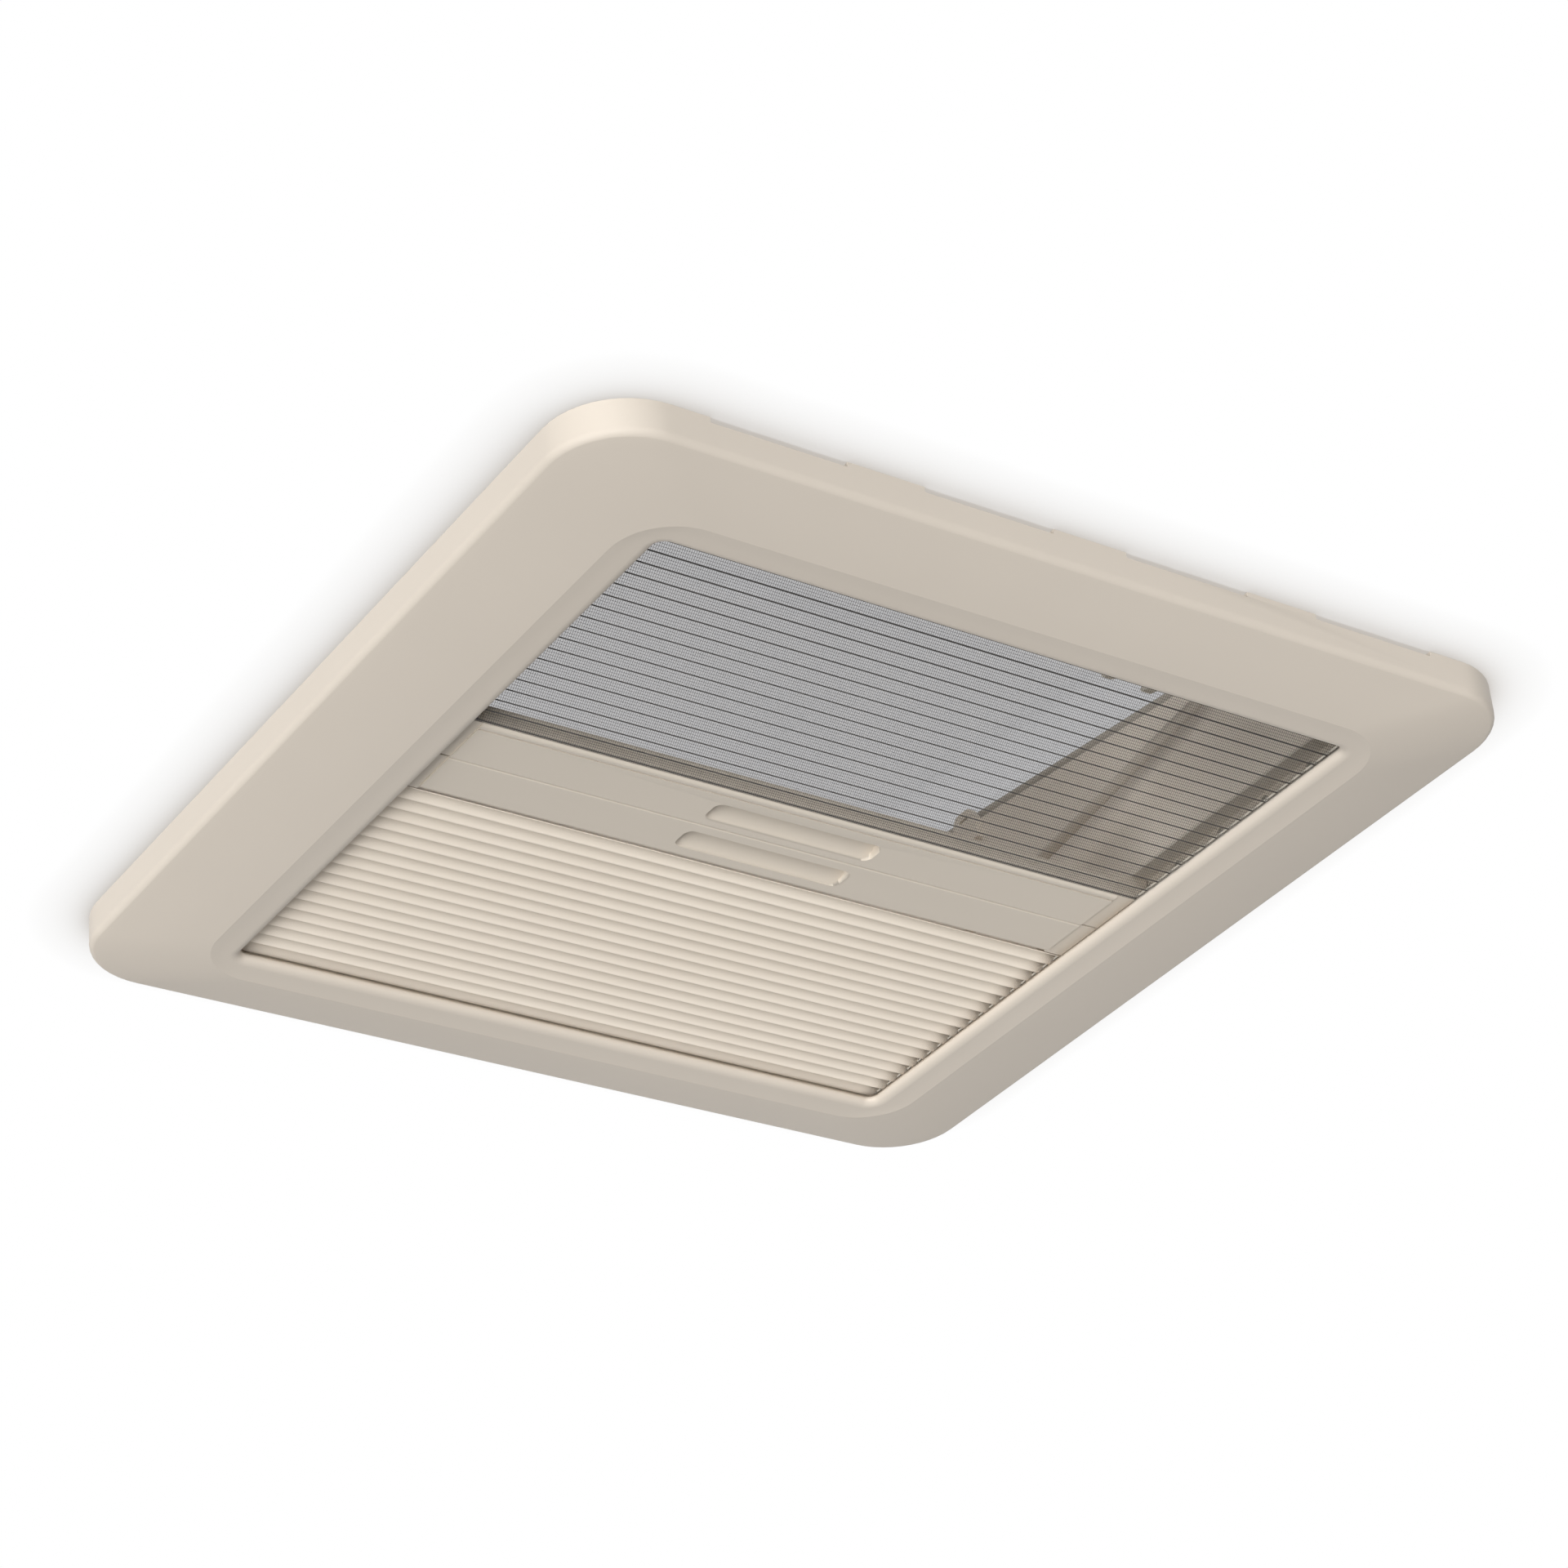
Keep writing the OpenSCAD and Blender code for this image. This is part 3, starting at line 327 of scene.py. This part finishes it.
def smooth_copy(node, angle=32.0, edge=0.0, flatten=False):
    mesh = merged_copy(node, flatten)
    mesh.shade_smooth()
    mesh.set_sharp_from_angle(angle=math.radians(angle))
    piece = add_object(f"{node}_smooth", mesh)
    if edge:
        rounding = piece.modifiers.new("broken edges", "BEVEL")
        rounding.width, rounding.segments = edge * MM, 2
        rounding.limit_method, rounding.angle_limit = "ANGLE", math.radians(angle)
        rounding.use_clamp_overlap = True
    weighting = piece.modifiers.new("flat faces stay flat", "WEIGHTED_NORMAL")
    weighting.keep_sharp = not edge
    dress(piece, node)


# %% Which nodes are smoothed, and how
curved_nodes = ["trim_frame", "outer_pane", "inner_pane", "bail_rod", "rim_seal",
                "hinge_pins", "glide_shoes", "tension_cords", "sealing_tape"]
rounded_nodes = ["roof_frame", "flyscreen_bar", "blackout_bar",
                 "flyscreen_bar_caps", "blackout_bar_caps"]
soft_edges_mm = {
    "guide_rail_left": 0.25, "guide_rail_right": 0.25,
    "flyscreen_end_rail": 0.4, "blackout_end_rail": 0.4,
    "clamp_brackets": 0.3, "hinge_brackets": 0.4, "hinge_leaves": 0.4,
    "bail_bearings": 0.4, "bail_keepers": 0.4, "slide_tracks": 0.3, "bail_handle": 0.5,
    "release_button_left": 0.4, "release_button_right": 0.4}
for node in curved_nodes:
    smooth_copy(node)
for node in rounded_nodes:
    smooth_copy(node, flatten=True)
for node, edge in soft_edges_mm.items():
    smooth_copy(node, angle=26.0, edge=edge, flatten=True)
print("smooth copies:", len(curved_nodes) + len(rounded_nodes) + len(soft_edges_mm))

# %% [markdown]
# ## Pieces made by Geometry Nodes
# What repeats is drawn by Geometry Nodes: rivets, screw heads and the threads of the net.
# A node tree is built here in the script, runs once on a small base mesh, and its result is
# kept as an ordinary mesh. The first helper opens a tree with named inputs and notes the
# identifier of each. The second ends it: instances are made real and get their material. The
# third sets copies of one shape on points, and the last runs a tree and keeps what it made.

# %% Helpers for Geometry Nodes
def open_tree(name, inputs):
    tree = bpy.data.node_groups.new(name, "GeometryNodeTree")
    tree.interface.new_socket("Geometry", in_out="OUTPUT", socket_type="NodeSocketGeometry")
    keys = {label: tree.interface.new_socket(
        label, in_out="INPUT", socket_type=f"NodeSocket{kind}").identifier
        for label, kind in inputs.items()}
    return tree, keys, add_node(tree, "NodeGroupInput").outputs


def close_tree(tree, geometry, material):
    real = add_node(tree, "GeometryNodeRealizeInstances", {"Geometry": geometry})
    dressed = add_node(tree, "GeometryNodeSetMaterial", {
        "Geometry": real.outputs["Geometry"], "Material": material})
    add_node(tree, "NodeGroupOutput", {"Geometry": dressed.outputs["Geometry"]})


def set_on_points(tree, points, instance, **more):
    made = add_node(tree, "GeometryNodeInstanceOnPoints", {
        "Points": points, "Instance": instance, **more})
    return made.outputs["Instances"]


def made_by_nodes(name, base_mesh, tree, keys, values):
    carrier = add_object(f"{name}_base", base_mesh)
    modifier = carrier.modifiers.new("nodes", "NODES")
    modifier.node_group = tree
    for label, value in values.items():
        modifier[keys[label]] = value
    depsgraph = bpy.context.evaluated_depsgraph_get()
    mesh = bpy.data.meshes.new_from_object(carrier.evaluated_get(depsgraph))
    mesh.name = name
    bpy.data.objects.remove(carrier)
    return add_object(name, mesh)


# %% [markdown]
# ## Rivets and screws
# The CAD model has a plain disc for each head. Rivets are really domed, and screws have a
# rounded head with a recess for the driver. We read the places and sizes of the heads from
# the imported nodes: each loose part gives a centre, a head radius and a shank. One head is
# turned on a lathe, its recess is cut, and a node tree sets it on every place, turned to
# face the way that its piece is fitted.

# %% Places of the fixings
def loose_parts(node):
    work = bmesh.new()
    work.from_mesh(cad[node].data)
    bmesh.ops.remove_doubles(work, verts=work.verts, dist=SAME_POINT)
    waiting = set(work.verts)
    while waiting:
        part, front = [], [waiting.pop()]
        while front:
            vert = front.pop()
            part.append(vert.co[:])
            near = {e.other_vert(vert) for e in vert.link_edges} & waiting
            waiting -= near
            front.extend(near)
        yield np.array(part)
    work.free()


def fixing_places(node, towards):
    places = []
    for part in loose_parts(node):
        centre = (part.min(axis=0) + part.max(axis=0)) / 2
        facing = np.array(towards(centre), dtype=float)
        facing /= np.linalg.norm(facing)
        reach = (part - centre) @ facing
        away = np.linalg.norm(part - centre - np.outer(reach, facing), axis=1)
        head = away > 0.9 * away.max()
        tip = reach < reach.min() + 0.05 * MM
        places.append((centre + facing * reach.max(), facing))
    sizes = {"head": away.max(), "crown": reach.max() - reach[head].min(),
             "shank": away[tip].max(), "length": np.ptp(reach)}
    return places, sizes


# %% Turned and sawn shapes
def shape_object(name, work):
    mesh = bpy.data.meshes.new(name)
    work.to_mesh(mesh)
    work.free()
    return add_object(name, mesh)


def lathe(name, profile, sides=28):
    work = bmesh.new()
    line = [work.verts.new((r, 0, z)) for r, z in profile]
    edges = [work.edges.new(pair) for pair in zip(line, line[1:])]
    bmesh.ops.spin(work, geom=line + edges, cent=(0, 0, 0), axis=(0, 0, 1),
                   angle=2 * math.pi, steps=sides)
    bmesh.ops.remove_doubles(work, verts=work.verts, dist=SAME_POINT)
    bmesh.ops.recalc_face_normals(work, faces=work.faces)
    return shape_object(name, work)


def block(name, size, turn):
    work = bmesh.new()
    place = Matrix.Rotation(turn, 4, "Z") @ Matrix.Diagonal((*size, 1))
    bmesh.ops.create_cube(work, size=1.0, matrix=place)
    return shape_object(name, work)


# %% One head with its recess
# Shares of the head's radius outwards and of its height downwards
crown_line = [(0, 0), (0.35, 0.03), (0.65, 0.14), (0.87, 0.36), (1, 0.7), (1, 1)]
# Length, width and depth of the driver's bars in the same shares, and their turns in degrees
driver_bars = {"none": ((0, 0, 0), ()),
               "cross": ((1.15, 0.26, 1.3), (0, 90)),
               "hexagon": ((0.9, 0.52, 1.2), (0, 60, 120))}


def turned_head(sizes, recess):
    radius, crown, shank = sizes["head"], sizes["crown"], sizes["shank"]
    profile = [(out * radius, -down * crown) for out, down in crown_line]
    if shank < 0.95 * radius:
        profile += [(shank, -crown), (shank, -sizes["length"])]
    piece = lathe("fixing", profile + [(0, profile[-1][1])])
    (long, wide, deep), turns = driver_bars[recess]
    bar_size = (long * radius, wide * radius, deep * crown)
    bars = [block("driver", bar_size, math.radians(turn)) for turn in turns]
    for bar in bars:
        cut = piece.modifiers.new("recess", "BOOLEAN")
        cut.operation, cut.object, cut.solver = "DIFFERENCE", bar, "EXACT"
    depsgraph = bpy.context.evaluated_depsgraph_get()
    piece.data = bpy.data.meshes.new_from_object(piece.evaluated_get(depsgraph))
    piece.modifiers.clear()
    piece.data.shade_smooth()
    piece.data.set_sharp_from_angle(angle=math.radians(35))
    for bar in bars:
        bpy.data.objects.remove(bar)
    return piece


# %% Fixings set on their places
def fixing_tree():
    tree, keys, given = open_tree(
        "fixings", {"Places": "Geometry", "Head": "Object", "Metal": "Material"})
    facing = add_node(tree, "GeometryNodeInputNamedAttribute", {"Name": "facing"},
                      data_type="FLOAT_VECTOR")
    turn = add_node(tree, "FunctionNodeAlignRotationToVector",
                    {"Vector": facing.outputs["Attribute"]}, axis="Z")
    head = add_node(tree, "GeometryNodeObjectInfo", {
        "Object": given["Head"], "As Instance": True})
    heads = set_on_points(tree, given["Places"], head.outputs["Geometry"],
                          Rotation=turn.outputs["Rotation"])
    close_tree(tree, heads, given["Metal"])
    return tree, keys


# The leaves lie on the roof frame's rim, which slopes by this angle
rim_tilt = math.radians(6.32)
fixings = {"rail_rivets": (lambda c: (-c[0], 0, 0), "none"),
           "clamp_screws": (lambda c: (0, 0, -1), "hexagon"),
           "hinge_screws": (lambda c: (0, 1, 0), "cross"),
           "leaf_screws": (lambda c: (0, math.cos(rim_tilt), math.sin(rim_tilt)), "cross"),
           "bearing_screws": (lambda c: (-c[0], 0, 0), "cross")}
fixing_nodes, fixing_keys = fixing_tree()
for node, (towards, recess) in fixings.items():
    places, sizes = fixing_places(node, towards)
    head = turned_head(sizes, recess)
    points = bpy.data.meshes.new(f"{node}_places")
    points.from_pydata([place for place, facing in places], [], [])
    points.attributes.new("facing", "FLOAT_VECTOR", "POINT").data.foreach_set(
        "vector", [v for place, facing in places for v in facing])
    piece = made_by_nodes(f"{node}_turned", points, fixing_nodes, fixing_keys, {
        "Head": head, "Metal": finishes[slot_of_node[node]]})
    bpy.data.objects.remove(head)
    dress(piece, node)
    print(node, len(places), "pieces, head radius", round(sizes["head"] / MM, 2), "mm")

# %% [markdown]
# ## The pleats
# Each blind is one flat cloth folded to and fro. The folds are pressed, yet the cloth has
# some thickness, so they are blunt and not corners. A side view of the cloth is a line
# of points: flanks that rise and fall, with two points at each fold. The blackout cloth is
# that line drawn out along the bars, with a few divisions lengthwise. The line leaves a
# little room below and above it for the thickness of cloth and threads.

# %% Side view of the pleats
PLEAT_PITCH = 8.75 * MM
FOLD_ROUND = 0.2 * MM
ROOM_BELOW = 0.1 * MM
ROOM_ABOVE = 0.4 * MM
cloth_box = {node: node_box(node) for node in ("flyscreen_net", "blackout_cloth")}
cloth_half = cloth_box["flyscreen_net"][1][0]


def pleat_line(bar_side, rail_side, low, high):
    halves = round(2 * abs(rail_side - bar_side) / PLEAT_PITCH)
    step = (rail_side - bar_side) / halves
    dip = (high - low) * FOLD_ROUND / abs(step)
    points = [(bar_side, low)]
    for i in range(1, halves):
        y = bar_side + i * step
        z = high - dip if i % 2 else low + dip
        ahead = math.copysign(FOLD_ROUND, step)
        points += [(y - ahead, z), (y + ahead, z)]
    return points + [(rail_side, high if halves % 2 else low)]


def flat_length(line):
    return sum(math.dist(a, b) for a, b in zip(line, line[1:]))


def side_view_of(node):
    low, high = cloth_box[node]
    bar_side, rail_side = sorted((low[1], high[1]), key=abs)
    return pleat_line(bar_side, rail_side, low[2] + ROOM_BELOW, high[2] - ROOM_ABOVE)


fly_line = side_view_of("flyscreen_net")
blackout_line = side_view_of("blackout_cloth")
print("cloth between bar and rail, in mm:",
      [round(flat_length(line) / MM) for line in (fly_line, blackout_line)])

# %% [markdown]
# ## Blackout cloth
# The real cloth looks like a coated polyester in warm cream, with hardly any gloss. The
# mesh carries its own UV map in metres along and across the cloth, so the weave follows
# every fold and moves with it when the blind closes up. Its upper creases are darker than
# the lamps alone make them: painted shade deepens the colour with height.

# %% Blackout cloth material
def weave(tree, uv, threads):
    ways = [add_node(tree, "ShaderNodeTexWave", {
        "Vector": uv, "Scale": threads, "Distortion": 0.4, "Detail": 1.0}, bands_direction=way)
        for way in ("X", "Y")]
    return maths(tree, "ADD", ways[0].outputs["Fac"], ways[1].outputs["Fac"])


def blackout_material():
    made, tree, shader = new_material("blackout cloth")
    uv = add_node(tree, "ShaderNodeUVMap", uv_map="cloth").outputs["UV"]
    blotches = noise(tree, uv, scale=12.0, detail=2.0)
    tint = mix_colours(tree, blotches, colour(248, 237, 222), colour(243, 231, 215))
    height = add_node(tree, "ShaderNodeSeparateXYZ", {"Vector": object_place(tree)}).outputs["Z"]
    # Painted shade: the colour darkens towards the top of the folds, where the creases lie deepest.
    crease_shade_share = remap(tree, height, start=[corner[2] for corner in cloth_box["blackout_cloth"]])
    painted_crease_shade = (0.75, 0.74, 0.72, 1)
    threads = weave(tree, uv, threads=420.0)
    set_inputs(tree, shader, {
        "Base Color": mix_colours(tree, crease_shade_share, tint, painted_crease_shade, blend="MULTIPLY"),
        "Normal": bumps(tree, threads, strength=0.3, depth_mm=0.08),
        "Roughness": 0.75, "Sheen Weight": 0.15, "Specular IOR Level": 0.25})
    return made


finishes["blackout_cloth"] = blackout_material()
print("finishes with the cloth:", len(finishes))


# %% Blackout cloth mesh
def pleated_sheet(name, line, half, divisions, thickness):
    columns = [-half + 2 * half * i / divisions for i in range(divisions + 1)]
    run = [0.0]
    for a, b in zip(line, line[1:]):
        run.append(run[-1] + math.dist(a, b))
    verts = [(x, y, z) for y, z in line for x in columns]
    wide = divisions + 1
    faces = [(r * wide + c, (r + 1) * wide + c, (r + 1) * wide + c + 1, r * wide + c + 1)
             for r in range(len(line) - 1) for c in range(divisions)]
    mesh = bpy.data.meshes.new(name)
    mesh.from_pydata(verts, [], faces)
    layer = mesh.uv_layers.new(name="cloth")
    for loop in mesh.loops:
        row, column = divmod(loop.vertex_index, wide)
        layer.data[loop.index].uv = (columns[column], run[row])
    mesh.shade_smooth()
    piece = add_object(name, mesh)
    gauge = piece.modifiers.new("thickness of the cloth", "SOLIDIFY")
    gauge.thickness, gauge.offset = thickness * MM, 1.0
    return piece


blackout = pleated_sheet("blackout_pleats", blackout_line, cloth_half, divisions=24, thickness=0.35)
blackout.data.materials.append(finishes["blackout_cloth"])
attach(blackout, "root")
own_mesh(blackout)
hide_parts("blackout_cloth")
flat_length(blackout_line)
print("blackout cloth faces:", len(blackout.data.polygons))

# %% [markdown]
# ## Flyscreen net
# The net is knitted from fine dark threads with square meshes of about a millimetre, and
# pleated like the cloth. A picture of holes would blur from near by, so the threads are real.
# Threads run to and fro over the folds, and others run straight along them. Geometry Nodes
# draw both from one side view of the pleats: it is copied sideways for the first family, and
# the points of each flank carry the second. Each lower fold also holds a thicker crease
# thread, which is what draws the dark lines that we see across the net. The threads have 0.53
# of this cut, a whole rectangle. The area given below is a figure chosen to fall inside those
# limits, and it is not the net's real area. That check therefore says nothing about this net.

# %% Flyscreen thread finish
def net_material():
    made, tree, shader = new_material("flyscreen threads")
    fuzz = noise(tree, object_place(tree), scale=2500.0, detail=2.0)
    set_inputs(tree, shader, {
        "Base Color": mix_colours(tree, fuzz, colour(58, 56, 54), colour(74, 71, 68)),
        "Normal": bumps(tree, fuzz, strength=0.3, depth_mm=0.05),
        "Roughness": 0.7})
    return made


finishes["flyscreen_net"] = net_material()
print("all finishes:", len(finishes))


# %% Threads as tubes along a curve
def ring(tree, sides, radius):
    made = add_node(tree, "GeometryNodeCurvePrimitiveCircle", {
        "Resolution": sides, "Radius": radius})
    return made.outputs["Curve"]


def tube(tree, curve, section):
    made = add_node(tree, "GeometryNodeCurveToMesh", {
        "Curve": curve, "Profile Curve": section, "Fill Caps": True})
    return made.outputs["Mesh"]


def curve_of(tree, mesh):
    return add_node(tree, "GeometryNodeMeshToCurve", {"Mesh": mesh}).outputs["Curve"]


# %% Threads over the folds
def threads_over_folds(tree, given, left_end, right_end, section):
    width = maths(tree, "MULTIPLY", given["Half width"], 2.0)
    beads = add_node(tree, "GeometryNodeMeshLine", {
        "Count": maths(tree, "DIVIDE", width, given["Mesh size"]),
        "Start Location": left_end, "Offset": right_end}, mode="END_POINTS")
    crossing = tube(tree, curve_of(tree, given["Side view"]), section)
    return set_on_points(tree, beads.outputs["Mesh"], crossing)


# %% Threads along the folds
def threads_along_folds(tree, given, straight, section):
    flanks = add_node(tree, "GeometryNodeSplitEdges", {"Mesh": given["Side view"]}).outputs["Mesh"]
    rows = add_node(tree, "GeometryNodeResampleCurve", {
        "Curve": curve_of(tree, flanks), "Length": given["Mesh size"]}, mode="LENGTH")
    places = add_node(tree, "GeometryNodeCurveToPoints", {"Curve": rows.outputs["Curve"]},
                      mode="EVALUATED")
    return set_on_points(tree, places.outputs["Points"], tube(tree, straight, section))


def crease_threads(tree, given, straight):
    places = add_node(tree, "GeometryNodeObjectInfo", {"Object": given["Creases"]})
    crease = tube(tree, straight, ring(tree, sides=5, radius=given["Crease radius"]))
    return set_on_points(tree, places.outputs["Geometry"], crease)


# %% The tree of the net
def net_tree():
    tree, keys, given = open_tree("pleated net", {
        "Side view": "Geometry", "Half width": "Float", "Mesh size": "Float",
        "Thread radius": "Float", "Crease radius": "Float", "Creases": "Object",
        "Thread": "Material"})
    section = ring(tree, sides=3, radius=given["Thread radius"])
    left = maths(tree, "MULTIPLY", given["Half width"], -1.0)
    left_end, right_end = (add_node(tree, "ShaderNodeCombineXYZ", {"X": x}).outputs["Vector"]
                           for x in (left, given["Half width"]))
    straight = add_node(tree, "GeometryNodeCurvePrimitiveLine", {
        "Start": left_end, "End": right_end}).outputs["Curve"]
    families = [threads_along_folds(tree, given, straight, section),
                threads_over_folds(tree, given, left_end, right_end, section),
                crease_threads(tree, given, straight)]
    joined = add_node(tree, "GeometryNodeJoinGeometry")
    for family in families:
        tree.links.new(family, joined.inputs["Geometry"])
    close_tree(tree, joined.outputs["Geometry"], given["Thread"])
    return tree, keys


# %% The net on its pleats
side_view = bpy.data.meshes.new("side view of the pleats")
side_view.from_pydata([(0, y, z) for y, z in fly_line],
                      [(i, i + 1) for i in range(len(fly_line) - 1)], [])
middle = (fly_line[0][1] + fly_line[-1][1]) / 2
folds = [((a[0] + b[0]) / 2, a[1]) for a, b in zip(fly_line[1::2], fly_line[2::2])]
# One more crease runs along the bar, a little on its own side of the cloth's edge
crease_at_bar = (fly_line[0][0] - 0.9 * MM, fly_line[0][1])
creases = [fold for fold in folds if fold[1] < middle] + [crease_at_bar]
crease_points = bpy.data.meshes.new("creases")
crease_points.from_pydata([(0, y, z) for y, z in creases], [], [])
crease_carrier = bpy.data.objects.new("creases", crease_points)
tree, keys = net_tree()
net = made_by_nodes("flyscreen_threads", side_view, tree, keys, {
    "Half width": cloth_half, "Mesh size": 1.05 * MM, "Thread radius": 0.08 * MM,
    "Crease radius": 0.3 * MM, "Creases": crease_carrier, "Thread": finishes["flyscreen_net"]})
bpy.data.objects.remove(crease_carrier)
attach(net, "root")
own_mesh(net)
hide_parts("flyscreen_net")
net_size = (2 * cloth_half, flat_length(fly_line))
# Chosen to pass, not measured: the threads cover about 0.3 of the cut, which is a rectangle
print("net faces:", len(net.data.polygons), "with", len(creases), "creases")

# %% [markdown]
# ## Ceiling and floor
# The ceiling is a thin white plane with the cut-out in it. It only has to catch the soft
# shadow that gathers where the trim frame meets it, so it glows white and darkens by
# ambient occlusion. It shows from below alone, and a pale floor shows from above alone. The
# ceiling keeps the daylight above it out of the room, except through its hole, and lets the
# room's light pass upwards, so that both sides of the part can be looked at.

# %% Whites that darken near the part
WHITE = (1, 1, 1, 1)
FULL_SHADE_AT = 0.45
SHADE_FALL_OFF = 0.8


def one_sided(tree, facing_shader):
    side = add_node(tree, "ShaderNodeNewGeometry").outputs["Backfacing"]
    clear = add_node(tree, "ShaderNodeBsdfTransparent").outputs["BSDF"]
    both = add_node(tree, "ShaderNodeMixShader", {0: side, 1: facing_shader, 2: clear})
    set_inputs(tree, tree.nodes["Material Output"], {"Surface": both.outputs["Shader"]})


def contact_white(name, reach, shade):
    made, tree, shader = new_material(name)
    tree.nodes.remove(shader)
    near = add_node(tree, "ShaderNodeAmbientOcclusion", {"Distance": reach}, samples=16)
    clear_share = remap(tree, near.outputs["AO"], start=(FULL_SHADE_AT, 1.0))
    openness = maths(tree, "POWER", clear_share, SHADE_FALL_OFF)
    glow = add_node(tree, "ShaderNodeEmission", {
        "Color": mix_colours(tree, openness, shade, WHITE), "Strength": 1.0})
    one_sided(tree, glow.outputs["Emission"])
    return made


# %% Stage
PLANE_HALF = 6.0


def stage_plane(name, height, faces_up, hole_half, material, shades):
    corners = [(-1, -1), (1, -1), (1, 1), (-1, 1)]
    verts = [(half * x, half * y, height) for half in (PLANE_HALF, hole_half) for x, y in corners]
    faces = [(i, (i + 1) % 4, 4 + (i + 1) % 4, 4 + i) for i in range(4)]
    if not faces_up:
        faces = [f[::-1] for f in faces]
    mesh = bpy.data.meshes.new(name)
    mesh.from_pydata(verts, [], faces)
    mesh.materials.append(material)
    plane = add_object(name, mesh)
    plane.visible_shadow = shades
    plane.visible_diffuse = plane.visible_glossy = plane.visible_transmission = False
    return plane


mount_height = {mount["name"]: mount["pos_m"][2] for mount in frame["record"]["mounts"]}
floor_gap = 0.55 * MM
ceiling_white = contact_white("ceiling white", reach=30 * MM, shade=colour(196, 190, 183))
floor_white = contact_white("floor white", reach=22 * MM, shade=colour(150, 147, 143))
ceiling = stage_plane("ceiling", mount_height["ceiling_rim"], faces_up=False,
                      hole_half=200 * MM, material=ceiling_white, shades=True)
floor = stage_plane("floor", cad_box[0][2] - floor_gap, faces_up=True,
                    hole_half=20 * MM, material=floor_white, shades=False)
print("heights of ceiling and floor in mm:",
      [round(plane.data.vertices[0].co.z / MM, 2) for plane in (ceiling, floor)])

# %% [markdown]
# ## Light from all round
# In a camper most light arrives at the level of the windows, a little below the ceiling. So
# the world is brightest in a ring just under the horizon, dark close to that ring, and dim
# straight below and above. Such low light leaves the deep folds, the grips and the ends of
# the cloth dark. Seen directly, in a mirror or through clear plastic, the world is white.

# %% Strength of the world by height
def level_by_height(tree, direction, levels):
    height = add_node(tree, "ShaderNodeSeparateXYZ", {"Vector": direction}).outputs["Z"]
    ramp = add_node(tree, "ShaderNodeValToRGB", {"Fac": remap(tree, height, start=(-1.0, 1.0))})
    ramp.color_ramp.interpolation = "EASE"
    stops = ramp.color_ramp.elements
    while len(stops) < len(levels):
        stops.new(0.5)
    for stop, (z, level) in zip(stops, levels):
        stop.position = (z + 1) / 2
        stop.color = (level, level, level, 1)
    return ramp.outputs["Color"]


# %% World
world_levels = [(-0.8, 0.35), (-0.4, 0.05), (-0.17, 0.9), (0.05, 0.1), (0.5, 0.3)]
world = bpy.data.worlds.new("sky")
bpy.context.scene.world = world
world.use_nodes = True
sky = world.node_tree
sky.nodes.clear()
direction = add_node(sky, "ShaderNodeTexCoord").outputs["Generated"]
soft_light, white = (
    add_node(sky, "ShaderNodeBackground", {"Color": WHITE, "Strength": strength})
    for strength in (level_by_height(sky, direction, world_levels), 1.0))
path = add_node(sky, "ShaderNodeLightPath").outputs
seen = maths(sky, "MAXIMUM", path["Is Camera Ray"], path["Is Glossy Ray"])
seen = maths(sky, "MAXIMUM", seen, path["Is Transmission Ray"])
mixed = add_node(sky, "ShaderNodeMixShader", {
    0: seen, 1: soft_light.outputs["Background"], 2: white.outputs["Background"]})
add_node(sky, "ShaderNodeOutputWorld", {"Surface": mixed.outputs["Shader"]})
print("world of", len(sky.nodes), "nodes")

# %% [markdown]
# ## Lamps
# A window on the left lights the frame's left wall most. As much light comes low from behind
# the viewer, which models the pleats and lets the far faces fall off. A lamp from above
# lights the dome and the shaft. Wide suns give soft shadows and an even level.

# %% Lamps
def sun(name, towards, level, spread):
    lamp = add_object(name, bpy.data.lights.new(name, "SUN"))
    lamp.data.energy = level * math.pi
    lamp.data.angle = math.radians(spread)
    lamp.rotation_euler = Vector(towards).to_track_quat("Z", "Y").to_euler()


sun("window on the left", towards=(-0.84, -0.208, -0.5), level=0.5, spread=30)
sun("open door", towards=(-0.554, -0.772, -0.309), level=0.52, spread=30)
sun("daylight above", towards=(-0.5, -0.4, 0.8), level=0.75, spread=40)
bpy.context.scene.view_settings.view_transform = "Standard"
